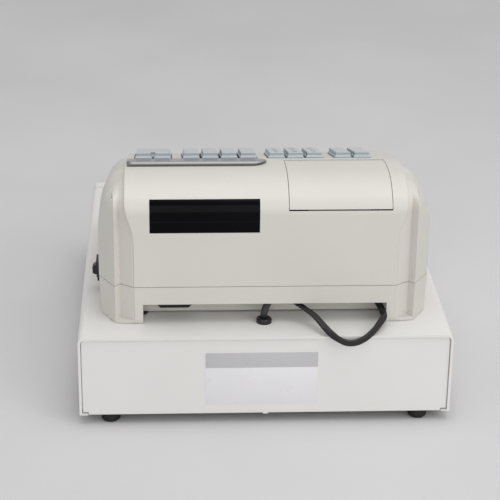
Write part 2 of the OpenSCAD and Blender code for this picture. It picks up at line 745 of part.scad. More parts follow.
module drawer_cable() color("black") {
    spans = len(cable_route) - 1;
    stations = [for (k = [0:spans - 1], j = [0:cable_steps - 1]) [k, j / cable_steps], [spans - 1, 1]];
    mid = [for (s = stations) route_at(s[0], s[1], 0)];
    wide = [for (s = stations) route_at(s[0], s[1], 1)];
    last = len(mid) - 1;
    sides = 8;
    points = [for (i = [0:last])
        let (along = unit(mid[min(i + 1, last)] - mid[max(i - 1, 0)]),
            across = unit(wide[i] - (wide[i] * along) * along),
            up = cross(along, across))
        for (j = [0:sides - 1])
            mid[i] + across * cable_w / 2 * 1.06 * cos(45 * j + 22.5)
                + up * cable_t / 2 * 1.06 * sin(45 * j + 22.5)];
    ring = [for (j = [0:sides - 1]) j];
    skin = [for (i = [0:last - 1], j = [0:sides - 1])
        [i * sides + j, i * sides + (j + 1) % sides,
            (i + 1) * sides + (j + 1) % sides, (i + 1) * sides + j]];
    translate([0, rear_y, case_top])
        polyhedron(points, concat([[for (j = ring) sides - 1 - j]], skin,
            [[for (j = ring) last * sides + j]]));
}

module cable_plug() color("black") on_drawer()
    translate([jack_x, plug_size[1] - plug_in - bay_d, jack_z])
    difference() {
        translate([-plug_size[0] / 2, -plug_size[1], -plug_size[2] / 2]) cube(plug_size);
        // The rear end tapers to the cable
        for (s = [0, 1]) mirror([s, 0, 0])
            translate([plug_size[0] / 2, -5, -5]) rotate([0, 0, 28]) cube([6, 12, 10]);
    }

// ---------- Form of the register ----------

// Height of the register's top panel at a distance behind its rear face
function surface_h(u) =
    u > deck_rear_u ? deck_rear_h - tan(deck_slope) * (u - deck_rear_u)
    : u > -arc_top[0] ? arc_top[1] + sqrt(pow(top_r, 2) - pow(u + arc_top[0], 2))
    : u > rear_r * (1 - cos(rear_turn)) ? arc_crown[1] + sqrt(pow(crown_r, 2) - pow(u + arc_crown[0], 2))
    : arc_rear[1] + sqrt(pow(rear_r, 2) - pow(rear_r - u, 2));

// Side view of the register in [-u, h], drawn in by i
module side_profile(i) {
    over = 90 + deck_slope;
    polygon([[-i, 0], [-i, arc_rear[1]], arc_at(arc_rear, rear_r - i, rear_turn),
        arc_at(arc_crown, crown_r - i, 90), arc_at(arc_top, top_r - i, over),
        arc_at(arc_nose, nose_r - i, over), arc_at(arc_nose, nose_r - i, 180), [i - reg_d, 0]]);
    arc_bow(arc_rear, rear_r - i, 0, rear_turn);
    arc_bow(arc_crown, crown_r - i, rear_turn, 90);
    arc_bow(arc_top, top_r - i, 90, over);
    arc_bow(arc_nose, nose_r - i, over, 180);
}

// Inward normal of an edge of an outline that runs clockwise
function inward(a, b) = [b[1] - a[1], a[0] - b[0]] / norm(b - a);

// The inner points of a chain, drawn in by i
function drawn_in(chain, i) = [for (k = [1:len(chain) - 2])
    let (m = inward(chain[k - 1], chain[k]), n = inward(chain[k], chain[k + 1]))
    chain[k] + i * (m + n) / (1 + m * n)];

// The register seen from above, from its right rear edge to its right front corner
facet_x = rear_half + facet_w;
rear_corner = [[facet_x, -facet_d], [facet_x + groove_w, -groove_d]];
plan_ends = [[[0, 0], [rear_half, 0]], [[side_half, -facet_end], [side_half, -reg_d], [0, -reg_d]]];

// That outline on both sides, drawn in by i, with or without the grooved corner
module plan_outline(i, corner = rear_corner) {
    r = front_corner_r;
    right = drawn_in(concat(plan_ends[0], corner, plan_ends[1]), i);
    left = [for (k = [len(right) - 1:-1:0]) [-right[k][0], right[k][1]]];
    difference() {
        polygon(concat(right, left));
        for (s = [0, 1]) mirror([s, 0]) difference() {
            translate([side_half - r, -reg_d - 1]) square([r + 1, r + 1]);
            translate([side_half - r, r - reg_d]) circle(r - i);
        }
    }
}

// Front view with its rounded shoulders, drawn in by i. Under the raised top panel it stands
// open upwards.
module shoulder_outline(i) for (s = [0, 1]) mirror([s, 0]) {
    last = arc_at(sh_3, sh_r[2] - i, sh_turn[2]);
    polygon([[-1, 0], [side_half - side_lean - i, 0], [side_half - i, parting_h],
        [side_half - i, shoulder_h], arc_at(sh_1, sh_r[0] - i, sh_turn[0]),
        arc_at(sh_2, sh_r[1] - i, sh_turn[1]), last, [last[0], reg_h + 9], [-1, reg_h + 9]]);
    arc_bow(sh_1, sh_r[0] - i, 0, sh_turn[0]);
    arc_bow(sh_2, sh_r[1] - i, sh_turn[0], sh_turn[1]);
    arc_bow(sh_3, sh_r[2] - i, sh_turn[1], sh_turn[2]);
}

// The same in straight lines, for the inside of the shell
module shoulder_chords(i) {
    side = [[side_half - side_lean - i, 0], [side_half - i, parting_h], [side_half - i, shoulder_h],
        arc_at(sh_1, sh_r[0] - i, sh_turn[0]), arc_at(sh_2, sh_r[1] - i, (sh_turn[0] + sh_turn[1]) / 2),
        arc_at(sh_2, sh_r[1] - i, sh_turn[1]), arc_at(sh_3, sh_r[2] - i, sh_turn[2])];
    top = side[6][0] - 10;
    right = concat([[-1, 0]], side, [[top, reg_h + 9], [-1, reg_h + 9]]);
    for (s = [0, 1]) mirror([s, 0]) polygon(right);
}

// Front view of the raised top panel, whose edges swing outwards in an S, drawn in by i
module panel_outline(i) {
    dx = (crown_half - rear_half) / 2;
    dz = (swing_high - swing_low) / 2;
    r = (dx * dx + dz * dz) / (2 * dx);
    mid = [rear_half + dx - i, swing_low + dz];
    for (s = [0, 1]) mirror([s, 0]) difference() {
        polygon([[-1, 0], [rear_half - i, 0], [rear_half - i, swing_low], mid,
            [crown_half - i, mid[1]], [crown_half - i, reg_h + 9], [-1, reg_h + 9]]);
        translate([rear_half + r, swing_low]) circle(r + i, $fn = 192);
        difference() {
            translate(mid) square([dx + 1, dz]);
            translate([crown_half - r, swing_high]) circle(r - i, $fn = 192);
        }
    }
}

// The shoulders as they run on down the leaning deck, over straight sides drawn in by i
module along_deck(i)
    translate([0, arc_top[0], arc_top[1]]) rotate([deck_slope, 0, 0]) translate([0, 0, -arc_top[1]])
        along_y(reg_d / 2, 3 * reg_d / 2) {
            children();
            translate([i - side_half, -reg_h]) square([2 * (side_half - i), reg_h + shoulder_h]);
        }

// The whole register, drawn in by i
module outer_form(i) {
    intersection() {
        along_x(-side_half, reg_w) side_profile(cheek_step + i);
        linear_extrude(reg_h + 9) plan_outline(i);
        along_y(1, reg_d + 2) shoulder_outline(i);
        along_deck(i) shoulder_outline(i);
    }
    intersection() {
        along_x(-crown_half, 2 * crown_half) side_profile(i);
        along_y(1, reg_d + 2) panel_outline(i);
    }
}

// The space inside the housings
module inner_form() intersection() {
    along_x(-side_half, reg_w) side_profile(cheek_step + wall);
    linear_extrude(reg_h + 9) plan_outline(wall, []);
    along_y(1, reg_d + 2) shoulder_chords(wall);
    along_deck(wall) shoulder_chords(wall);
}

// Puts what is drawn in the register's own frame in its place on the drawer
module on_drawer() translate([0, reg_y, case_top]) children();

// The leaning side wall at the power switch, with +X pointing out of it
module on_side() on_drawer()
    translate([side_half - side_lean * (1 - switch_z / parting_h), -switch_u, switch_z])
        rotate([0, atan(side_lean / parting_h), 0]) children();

// The plane of the key tops' deck, with the origin at the rear key row
module on_deck() on_drawer()
    translate([0, -keys_u, surface_h(keys_u)]) rotate([deck_slope, 0, 0]) children();

// ---------- Housings ----------

module lower_housing() color("gainsboro") difference() {
    floor_h = pad_t + wall;
    bevel = [3.5, 1.2];
    rim_top = parting_h - parting_gap;
    inlet_mid = inlet_z + inlet_h / 2;
    on_drawer() difference() {
        union() {
            difference() {
                union() {
                    intersection() {
                        outer_form(0);
                        layer(skirt_lift, rim_top);
                    }
                    // Foot band that runs on below the groove of each rear corner
                    intersection() {
                        translate([0, 0, skirt_lift]) linear_extrude(bevel[0])
                            plan_outline(0, [rear_corner[1]]);
                        along_y(1, reg_d + 2) shoulder_outline(0);
                    }
                    // Lip that keeps the groove along the parting line open
                    translate([0, 0, rim_top - eps]) linear_extrude(parting_gap + eps) difference() {
                        plan_outline(cheek_step + 0.7);
                        plan_outline(wall, []);
                    }
                }
                intersection() {
                    inner_form();
                    layer(floor_h, parting_h + 1);
                }
                // The floor lies above the pads
                intersection() {
                    inner_form();
                    layer(-1, pad_t);
                }
            }
            // Walls and ceiling of the connector bay
            box([-bay_half - 2, -bay_d - 2, pad_t], [bay_half + 2, -1, bay_top + 2]);
            for (p = post_at) translate([p[0], p[1], floor_h - eps])
                cylinder(r = post_r, h = parting_h - floor_h);
        }
        box([-bay_half, -bay_d, 0], [bay_half, -wall, bay_top]);
        box([-bay_half, -wall - eps, 0], [bay_half, 1, skirt_h]);
        // Cut-outs of the mains inlet and of the drawer socket
        box([inlet_x - inlet_cut[0] / 2 - seat_gap, -bay_d - 3, inlet_mid - inlet_cut[1] / 2 - seat_gap],
            [inlet_x + inlet_cut[0] / 2 + seat_gap, -bay_d + 1, inlet_mid + inlet_cut[1] / 2 + seat_gap]);
        box([jack_x - jack_cut[0] / 2 - seat_gap, -bay_d - 3, jack_z - jack_cut[1] / 2 - seat_gap],
            [jack_x + jack_cut[0] / 2 + seat_gap, -bay_d + 1, jack_z + jack_cut[1] / 2 + seat_gap]);
        // Bevel along the foot of both rear corners
        for (s = [0, 1]) mirror([s, 0, 0]) along_x(bay_half - 1, side_half - bay_half)
            polygon([[1, 0], [-bevel[1], 0], [-bevel[1], skirt_lift], [0, skirt_lift + bevel[0]],
                [1, skirt_lift + bevel[0]]]);
        // Air slots in the floor and screw holes in the posts
        for (x = [-60:12:60]) box([x - 2, -150, 0], [x + 2, -110, floor_h + 1]);
        for (p = post_at) translate([p[0], p[1], 0]) cylinder(r = 1.6, h = parting_h + 1);
    }
    on_side() box([-12, -switch_cut[0], -switch_cut[1]], [2, switch_cut[0], switch_cut[1]]);
}

module upper_housing() color("gainsboro") {
    difference() {
        on_drawer() difference() {
            union() {
                difference() {
                    intersection() {
                        outer_form(0);
                        layer(parting_h, reg_h + 9);
                    }
                    intersection() {
                        inner_form();
                        layer(parting_h - 1, reg_h + 9);
                    }
                }
                // Side walls of the printer bay
                for (s = [-1, 1]) translate([printer_x + s * (open_half + cheek_t / 2), 0, 0])
                    along_x(-cheek_t / 2, cheek_t) intersection() {
                        side_profile(cheek_step);
                        translate([-90, 70]) square([88, reg_h]);
                    }
                // Screw posts, up into the shell
                for (p = post_at) translate([p[0], p[1], parting_h]) difference() {
                    top = p[1] == post_rear_y ? post_top[0] : post_top[1];
                    cylinder(r = post_r, h = top - parting_h);
                    translate([0, 0, -1]) cylinder(r = 1.3, h = 13);
                }
            }
            // Opening of the printer cover with the slit under its edge, and its hinge
            box([printer_x - open_half, -cover_front - paper_slot, cover_low - cover_slit],
                [printer_x + open_half, 1, reg_h + 9]);
            translate([printer_x - open_half, -hinge_u, hinge_h])
                rod_x(swing_r + slide_gap, 2 * open_half);
            translate([printer_x - open_half - cheek_t - 1, -hinge_u, hinge_h])
                rod_x(hinge_pin / 2 + pin_gap, 2 * (open_half + cheek_t + 1));
            // Customer window, with a ledge for the pane
            intersection() {
                along_x(window_x - window_w / 2, window_w) difference() {
                    side_profile(-2);
                    side_profile(pane_inset + pane_t);
                }
                box([-big, -40, window_low], [big, 9, window_high]);
            }
            box([window_x - window_w / 2 + ledge, -12, window_low + ledge],
                [window_x + window_w / 2 - ledge, 1, window_high - ledge]);
            // Opening under the operator lens
            box([show_x[0], -show_u[1], reg_h - 30], [show_x[1], -show_u[0], reg_h + 9]);
        }
        // Openings of the key blocks
        for (b = [0:3]) on_deck()
            box([block_x[b], -(rows - 0.5) * key_pitch, -6],
                [block_x[b] + blocks[b] * key_pitch, key_pitch / 2, 6]);
    }
    // Posts that carry the key frame
    for (x = frame_post_x, y = frame_post_y) on_deck()
        translate([x, y, guide_z]) cylinder(r = 3, h = -guide_z - 1);
}

// Side view of the cover between two depths below the top panel
module cover_band(i0, i1) intersection() {
    difference() {
        side_profile(i0);
        side_profile(i1);
    }
    translate([-cover_front, cover_low]) square([cover_front + 5, reg_h]);
}

module printer_cover() color("gainsboro") on_drawer() translate([printer_x, 0, 0]) {
    skirt = 6;
    bearing_x = platen_w / 2 + slide_gap;
    difference() {
        union() {
            along_x(-cover_w / 2, cover_w) cover_band(0, cover_t);
            for (s = [0, 1]) mirror([s, 0, 0]) {
                along_x(cover_w / 2 - 2, 2) cover_band(cover_t - eps, cover_t + skirt);
                translate([cover_w / 2 - 5, -hinge_u, hinge_h]) rod_x(3, 5);
                translate([cover_w / 2 - eps, -hinge_u, hinge_h]) rod_x(hinge_pin / 2, cover_gap + cheek_t);
                // Bearing plate of the platen
                along_x(bearing_x, 2.5) {
                    translate([-platen_u, platen_h]) circle(4.5);
                    translate([-platen_u - 4.5, platen_h]) square([9, surface_h(platen_u) - platen_h - 1]);
                }
            }
            // Stiffening ribs across the cover
            for (u = [30, 52]) box([-cover_w / 2 + 1, -u - 1.5, surface_h(u) - cover_t - 2],
                [cover_w / 2 - 1, -u, surface_h(u) - 1]);
        }
        translate([-cover_w / 2, -platen_u, platen_h]) rod_x(shaft_dia / 2 + pin_gap, cover_w);
    }
}

module tear_bar() color("silver") on_drawer() {
    teeth = 36;
    half = paper_w / 2 + 1;
    tooth = 2 * half / teeth;
    top = surface_h(cover_front) - 0.6;
    deep = 4;
    translate([printer_x, -cover_front, 0]) along_y(0, 1)
        polygon(concat([[-half, top - deep], [-half, top - 1]],
            [for (k = [0:teeth - 1], e = [[0.5, 0], [1, -1]]) [-half + (k + e[0]) * tooth, top + e[1]]],
            [[half, top - deep]]));
}

module customer_window() color("black") on_drawer() intersection() {
    along_x(window_x - window_w / 2 + seat_gap, window_w - 2 * seat_gap) difference() {
        side_profile(pane_inset);
        side_profile(pane_inset + pane_t - 0.05);
    }
    box([-big, -40, window_low + seat_gap], [big, 9, window_high - seat_gap]);
}

module operator_lens() color("dimgray") on_drawer() {
    rear_top = surface_h(lens_rear) + lens_lift;
    front_top = surface_h(lens_front) + lens_drop;
    chamfer = 8;
    mid_u = (lens_rear + lens_front) / 2;
    intersection() {
        along_x(lens_from, lens_to - lens_from) difference() {
            polygon([[-lens_rear, reg_h - 20], [-lens_rear, rear_top - lens_lift],
                [-lens_rear - lens_rim, rear_top], [-lens_front, front_top], [-lens_front, reg_h - 20]]);
            side_profile(-0.1);
        }
        // The corner arcs reach a little past the edges, so that they meet them at an angle
        linear_extrude(reg_h + 20) intersection() {
            translate([lens_from, -lens_front])
                square([lens_to - lens_from, lens_front - lens_rear]);
            union() {
                translate([lens_from + lens_r, -lens_front - 1])
                    square([lens_to - lens_from, lens_front - lens_rear + 2]);
                translate([lens_from - 1, -mid_u - 1]) square([lens_r + 2, 2]);
                for (s = [-1, 1])
                    translate([lens_from + lens_r, s * ((lens_front - lens_rear) / 2 - lens_r) - mid_u])
                        circle(lens_r + 0.15);
            }
        }
        along_y(0, reg_d) polygon([[lens_from, reg_h - 20], [lens_from, rear_top - lens_lift],
            [lens_from + lens_rim, rear_top + 1], [lens_to - chamfer, rear_top + 1],
            [lens_to, rear_top - lens_lift], [lens_to, reg_h - 20]]);
    }
}

// Tube, circuit board and posts of a display, with the tube facing +Z
module display_module(size, posts, reach) {
    chip = [30, 10];
    tube_in = [9, 4];
    translate([0, 0, -circuit_t / 2]) cube([size[0], size[1], circuit_t], center = true);
    translate([-size[0] / 2, -size[1] / 2, -eps]) translate(tube_in)
        cube([size[0] - 2 * tube_in[0], size[1] - 2 * tube_in[1], 5]);
    translate([-size[0] / 4, 0, -circuit_t - 1.7]) cube([chip[0], chip[1], 3.5], center = true);
    for (p = posts) translate([p[0], p[1], -eps]) cylinder(r = 2.5, h = reach);
}

module display_modules() color("seagreen") on_drawer() {
    inside = cheek_step + wall;
    over = 6;
    // Customer display, on four posts behind the window
    translate([window_x, -tube_board_u, window_z - 4]) rotate([-90, 0, 0])
        display_module([window_w + 2 * over, tube_board_h],
            [for (x = [-1, 1], y = [-1, 12]) [x * (window_w / 2 + over / 2), y]],
            tube_board_u - inside - slide_gap);
    // Operator display, leaning with the top panel under the lens
    drop = 12;
    mid_u = (show_u[0] + show_u[1]) / 2;
    lean = atan((surface_h(show_u[0]) - surface_h(show_u[1])) / (show_u[1] - show_u[0]));
    half = [(show_x[1] - show_x[0]) / 2 + over + 1, lens_board_d / 2];
    translate([(show_x[0] + show_x[1]) / 2, -mid_u, surface_h(mid_u) - drop]) rotate([lean, 0, 0])
        display_module(2 * half, [for (x = [-1, 1], y = [-1, 1])
            [x * (half[0] - 3.5), y * (half[1] - 3)]], drop - inside - 0.8);
}

// ---------- Switch, sockets and inner parts ----------

module switch_body() color("black") on_side() difference() {
    cut = switch_cut - seat_gap * [1, 1];
    union() {
        box([0, -switch_w / 2, -switch_h / 2], [switch_flange, switch_w / 2, switch_h / 2]);
        box([-13, -cut[0], -cut[1]], [eps, cut[0], cut[1]]);
    }
    tip = switch_flange + rocker_proud;
    room = rocker_h / 2 * cos(rocker_turn / 2) + tip * sin(rocker_turn / 2) + slide_gap;
    box([-11, -rocker_w / 2 - slide_gap, -room],
        [switch_flange + 1, rocker_w / 2 + slide_gap, room]);
    translate([0, -switch_w / 2, 0]) rod_y(rocker_pin / 2 + pin_gap, switch_w);
}

module switch_rocker() color("black") on_side() rotate([0, -rocker_turn / 2, 0]) {
    half = rocker_h / 2;
    rise = half * tan(rocker_turn / 2);
    mid = switch_flange + rocker_proud - 2 * rise;
    pin_len = rocker_w + 2 * slide_gap + 0.8;
    translate([0, rocker_w / 2, 0]) along_y(0, rocker_w)
        polygon([[mid, 0], [mid + rise, half], [0, half - 0.4], [-6, 3], [-6, -3],
            [0, 0.4 - half], [mid + rise, -half]]);
    translate([0, -pin_len / 2, 0]) rod_y(rocker_pin / 2, pin_len);
}

// Face of the mains inlet, with its two lower corners cut off
module inlet_outline(w, h, c)
    polygon([[-w / 2, h / 2], [-w / 2, c - h / 2], [c - w / 2, -h / 2], [w / 2 - c, -h / 2],
        [w / 2, c - h / 2], [w / 2, h / 2]]);

module mains_inlet() color("black") on_drawer()
    translate([inlet_x, -bay_d, inlet_z + inlet_h / 2]) difference() {
        union() {
            along_y(2, 2) inlet_outline(inlet_w, inlet_h, 5);
            along_y(eps, 18) inlet_outline(inlet_cut[0], inlet_cut[1], 3);
        }
        difference() {
            along_y(3, 17) inlet_outline(24, 16.5, 4);
            for (p = [[-7, 1.5], [0, -2.5], [7, 1.5]])
                translate([p[0], 0, p[1]]) box([-1, -16, -2], [1, 0.5, 2]);
        }
    }

module cable_jack() color("dimgray") on_drawer() translate([jack_x, -bay_d, jack_z]) difference() {
    union() {
        box([-jack_cut[0] / 2, -3, -jack_cut[1] / 2], [jack_cut[0] / 2, 0, jack_cut[1] / 2]);
        box([-9, -18, -8], [9, -2, 8]);
    }
    box([-plug_size[0] / 2 - seat_gap, -plug_in - 1, -plug_size[2] / 2 - seat_gap],
        [plug_size[0] / 2 + seat_gap, 1, plug_size[2] / 2 + seat_gap]);
}

module register_feet() color("dimgray") on_drawer()
    for (p = [[bay_half + 3.5, -bay_d - 1.5], [bay_half + 8, 30 - reg_d]], s = [-1, 1])
        translate([s * p[0], p[1], 0]) cylinder(r = pad_dia / 2, h = pad_t);

module power_supply() color("slategray") on_drawer() translate([supply_x, -supply_u, pad_t + wall]) {
    side = 6;
    plate = 2;
    cube([supply_w, supply_d, plate]);
    // Core and winding of the transformer
    translate([side, 4, plate - eps]) cube([supply_w - 2 * side, core_d, core_h]);
    translate([side + 8, 0, side + plate]) cube([supply_w - 2 * side - 16, core_d + 8, core_h - 2 * side]);
    // Capacitors
    for (x = [0.2, 0.5, 0.8]) translate([x * supply_w, supply_d - 9, plate - eps])
        cylinder(r = side, h = core_h / 2);
}

module main_board() color("darkgreen") on_deck() {
    y0 = -(rows - 0.5) * key_pitch - 4;
    z = -board_below;
    difference() {
        box([keys_x - keys_w / 2 - 4, y0, z - 1.6], [keys_x + keys_w / 2 + 4, key_pitch / 2 + 2, z]);
        for (x = [-70, 80]) translate([x, -30, z - 2]) cylinder(r = 1.7, h = 3);
    }
    box([-20, -40, z - 4], [4, -16, z - 1.5]);
    box([30, -30, z - 3.5], [48, -18, z - 1.5]);
    for (x = [60:12:96]) translate([x, -50, z - 12]) cylinder(r = 4, h = 10.6);
    box([-90, -20, z - 10], [-60, -12, z - 1.5]);
}

module key_frame() color("dimgray") on_deck() {
    y0 = -(rows - 0.5) * key_pitch - 4;
    difference() {
        box([keys_x - keys_w / 2 - 4, y0, guide_z - guide_t],
            [keys_x + keys_w / 2 + 4, key_pitch / 2 + 2, guide_z]);
        // One hole for each stem; the double keys have theirs between two columns
        for (b = [0:3], c = [0:blocks[b] - 1], r = [0:rows - 1]) {
            column = b == 3 && r > 0 ? 1 : c + 0.5;
            translate([block_x[b] + column * key_pitch, -r * key_pitch, guide_z - guide_t - 1])
                cylinder(r = stem_dia / 2 + slide_gap, h = guide_t + 2);
        }
    }
    for (x = frame_post_x, y = frame_post_y)
        translate([x, y, -board_below]) cylinder(r = 3, h = board_below + guide_z - guide_t + eps);
}

// ---------- Printer ----------

module printer_frame() color("darkslategray") on_drawer() translate([printer_x, 0, 0]) {
    half = open_half - slide_gap;
    front = cover_front + 7;
    head_u = platen_u + platen_dia / 2 + slide_gap;
    for (s = [0, 1]) mirror([s, 0, 0]) along_x(half - 2, 2) intersection() {
        side_profile(cover_t + 8);
        translate([-front, 74]) square([front - 5, reg_h]);
    }
    // Bucket of the paper roll
    difference() {
        translate([-half, -roll_u, bucket_h]) rod_x(roll_dia / 2 + bucket_gap + bucket_t, 2 * half);
        translate([-half - 1, -roll_u, bucket_h]) rod_x(roll_dia / 2 + bucket_gap, 2 * half + 2);
        layer(bucket_h, reg_h + 9);
    }
    // Thermal head on its crossbar, and the paper motor
    box([-half, -front, platen_h - 24], [half, -front + 3, platen_h - 4]);
    box([-paper_w / 2, -head_u - 2, platen_h - 5], [paper_w / 2, -head_u, platen_h + 2.5]);
    box([-paper_w / 2 + 4, -front + eps, platen_h - 5], [paper_w / 2 - 4, -head_u - 1, platen_h - 2]);
    translate([half - 20, -front + 8, platen_h - 34]) rod_x(7.5, 19);
}

module platen_roller() color("black") on_drawer() translate([printer_x, -platen_u, platen_h]) {
    reach = platen_w / 2 + slide_gap + 2.5 + slide_gap;
    teeth = 18;
    translate([-platen_w / 2, 0, 0]) rod_x(platen_dia / 2, platen_w);
    translate([-reach - 1, 0, 0]) rod_x(shaft_dia / 2, 2 * reach + 5);
    translate([reach, 0, 0]) rotate([0, 90, 0]) linear_extrude(3)
        polygon([for (k = [0:teeth - 1], e = [[0, 5], [0.3, 6], [0.6, 6], [0.9, 5]])
            e[1] * [cos((k + e[0]) * 360 / teeth), sin((k + e[0]) * 360 / teeth)]]);
}

module paper_roll() color("white") on_drawer() translate([printer_x, -roll_u, roll_h]) difference() {
    translate([-paper_w / 2, 0, 0]) rod_x(roll_dia / 2, paper_w);
    translate([-paper_w / 2 - 1, 0, 0]) rod_x(core_dia / 2, paper_w + 2);
}

// ---------- Keys ----------

// One key, cols keys wide, with the origin at its middle on the deck
module key(cols) {
    w = cols * key_pitch - key_gap;
    head = [1, 1.7];
    intersection() {
        along_x(-w / 2, w) key_profile(key_w, head[1]);
        along_y(key_w / 2, key_w) key_profile(w, head[0]);
    }
    translate([0, 0, guide_z - guide_t - slide_gap - 2]) {
        cylinder(r = stem_dia / 2 + 1, h = 2);
        cylinder(r = stem_dia / 2, h = guide_t + slide_gap + 7);
    }
}

// Side view of a key: a skirt, a hollow flank and a cap that narrows by t on each side
module key_profile(w, t) polygon([[-w / 2, -5], [w / 2, -5], [w / 2, 0.8], [w / 2 - 0.7 * t, 1.6],
    [w / 2 - t, 2.6], [w / 2 - 1.15 * t, key_up - 0.5], [w / 2 - 1.15 * t - 0.5, key_up],
    [0.5 + 1.15 * t - w / 2, key_up], [1.15 * t - w / 2, key_up - 0.5], [t - w / 2, 2.6],
    [0.7 * t - w / 2, 1.6], [-w / 2, 0.8]]);

// A key in block b, column c and row r
module key_at(b, c, r, cols = 1) color("lightsteelblue") on_deck()
    translate([block_x[b] + (c + cols / 2) * key_pitch, -r * key_pitch, 0]) key(cols);

// A whole column of keys
module key_column(b, c) for (r = [0:rows - 1]) key_at(b, c, r);

// ---------- Nodes ----------

drawer_case();
drawer_rear_panel();
drawer_base();
drawer_feet();
slide_rails();
drawer_tray();
drawer_front();
cash_insert();
bill_clip(0);  // bill_clip_1
bill_clip(1);  // bill_clip_2
bill_clip(2);  // bill_clip_3
bill_clip(3);  // bill_clip_4
lock_body();
lock_cylinder();
latch_lever();
solenoid();
cable_grommet();
drawer_cable();
cable_plug();
lower_housing();
upper_housing();
printer_cover();
customer_window();
operator_lens();
display_modules();
switch_body();
switch_rocker();
printer_frame();
platen_roller();
paper_roll();
tear_bar();
key_frame();
main_board();
power_supply();
mains_inlet();
cable_jack();
register_feet();
key_at(1, 0, 3);  // key_0
key_at(1, 1, 3);  // key_00
key_at(1, 2, 3);  // key_point
key_at(1, 0, 2);  // key_1
key_at(1, 1, 2);  // key_2
key_at(1, 2, 2);  // key_3
key_at(1, 0, 1);  // key_4
key_at(1, 1, 1);  // key_5
key_at(1, 2, 1);  // key_6
key_at(1, 0, 0);  // key_7
key_at(1, 1, 0);  // key_8
key_at(1, 2, 0);  // key_9
key_at(3, 0, 0);  // check_key
key_at(3, 1, 0);  // charge_key
key_at(3, 0, 1, 2);  // subtotal_key
key_at(3, 0, 2, 2);  // credit_key
key_at(3, 0, 3, 2);  // cash_key
key_column(2, 0);  // department_keys_1
key_column(2, 1);  // department_keys_2
key_column(2, 2);  // department_keys_3
key_column(2, 3);  // department_keys_4
key_column(0, 0);  // function_keys_1
key_column(0, 1);  // function_keys_2
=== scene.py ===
# %% [markdown]
# # A cash register on its cash drawer
# The engineering model of this register is already built: a steel drawer case, two plastic
# shells, sixty named nodes and their joints. This notebook gives it its looks. It loads the model
# as a fixed frame, sets up a camera and soft studio light, mixes a finish for every surface, and
# models the small things that the engineering model leaves out. Nothing of the frame is moved.

# %% Load the frame
import math
import bmesh, bpy
from mathutils import Matrix, Vector


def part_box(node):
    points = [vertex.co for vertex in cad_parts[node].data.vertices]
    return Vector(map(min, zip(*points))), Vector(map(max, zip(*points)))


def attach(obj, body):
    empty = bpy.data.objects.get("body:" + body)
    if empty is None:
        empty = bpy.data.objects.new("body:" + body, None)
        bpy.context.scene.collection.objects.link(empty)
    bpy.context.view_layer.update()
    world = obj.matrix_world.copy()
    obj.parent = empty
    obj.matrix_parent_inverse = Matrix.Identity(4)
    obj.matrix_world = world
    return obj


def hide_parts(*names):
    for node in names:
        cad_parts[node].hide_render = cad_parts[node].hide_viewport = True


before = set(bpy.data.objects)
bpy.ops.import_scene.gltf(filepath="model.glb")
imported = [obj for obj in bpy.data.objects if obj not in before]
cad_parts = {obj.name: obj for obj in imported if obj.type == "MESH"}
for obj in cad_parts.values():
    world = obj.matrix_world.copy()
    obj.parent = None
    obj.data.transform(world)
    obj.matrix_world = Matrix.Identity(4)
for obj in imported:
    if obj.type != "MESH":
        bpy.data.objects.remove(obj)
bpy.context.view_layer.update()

# %% [markdown]
# ## Camera
# The register is looked at from the customer's side, a little from above, through a long lens.
# A long lens keeps the drawer's edges almost parallel. The camera is set by its place and its
# viewing direction instead of by angles, because both can be measured; a small roll about the
# viewing axis tilts the horizon by a degree, as a camera held by hand does.

# %% Camera
CAMERA_AT = Vector((0.0905, 1.5740, 0.7693))
LOOKING = Vector((-0.0494, -0.9171, -0.3956)).normalized()
ROLL = math.radians(0.76)
camera_data = bpy.data.cameras.new("camera")
camera_data.sensor_width = 36.0
camera_data.lens = 119.0
camera_data.clip_start = 0.05
camera = bpy.data.objects.new("camera", camera_data)
bpy.context.scene.collection.objects.link(camera)
looking = LOOKING.to_track_quat("-Z", "Y").to_matrix().to_4x4()
camera.matrix_world = Matrix.Translation(CAMERA_AT) @ looking @ Matrix.Rotation(ROLL, 4, "Z")
bpy.context.scene.camera = camera
print("camera at", [round(v, 3) for v in camera.matrix_world.translation])

# %% [markdown]
# ## The flat cable
# A flat black cable leaves the drawer through a rubber ring, rises, turns over on its edge, loops
# out over the drawer's rear edge and goes back up into the drawer socket. A curve with a bevel
# would twist where it likes. Here every stop on the route also says which way the cable's width
# points, and a ring of points is carried along the route and bridged, so the twist is ours.

# %% Where the cable runs
MM = 0.001
drawer_rear, drawer_top = 203.5, 90.0
cable_from, cable_to = Vector((0.8, -32.8, 3.6)), Vector((-103.0, -46.0, 22.0))
route = [  # distance from the straight line between the ends, and the direction of the width
    ((0, 0, 0), (1, 0, 0)), ((5, 0.5, 4.5), (1, 0, 0)), ((8, -1, 9.5), (1, -0.3, 0.4)),
    ((8, -3, 15), (0.8, -0.8, 0.6)), ((5, -4.5, 16.5), (0, -1, 0)),
    ((1, -3.5, 13.5), (-0.2, -1, 0)), ((-2, 1, 8.5), (-0.6, -1, 0)),
    ((-5, 9.5, 5), (-0.7, -1, 0)), ((-7.5, 19.5, 1.5), (-0.7, -1, 0.2)),
    ((-8.5, 30, -3), (-0.6, -1, 0.4)), ((-9.5, 40, -7.5), (-0.2, -1, 1)),
    ((-11.5, 45.5, -12.5), (0, 0.1, 1)), ((-15.5, 47, -17.5), (0, 0.1, 1)),
    ((-19.5, 47.5, -18), (0, 0, 1)), ((-23.5, 45.5, -15.5), (0.3, 0, 1)),
    ((-26.5, 40, -12), (0.5, 0, 1)), ((-27.5, 32, -10), (0.8, 0, 0.8)),
    ((-27.5, 22.5, -9), (1, 0, 0.3)), ((-23, 15.5, -8.5), (1, -0.1, 0)),
    ((-16, 9, -6), (1, -0.2, 0)), ((-7.5, 4.5, -2.5), (1, -0.1, 0)), ((0, 0, 0), (1, 0, 0))]


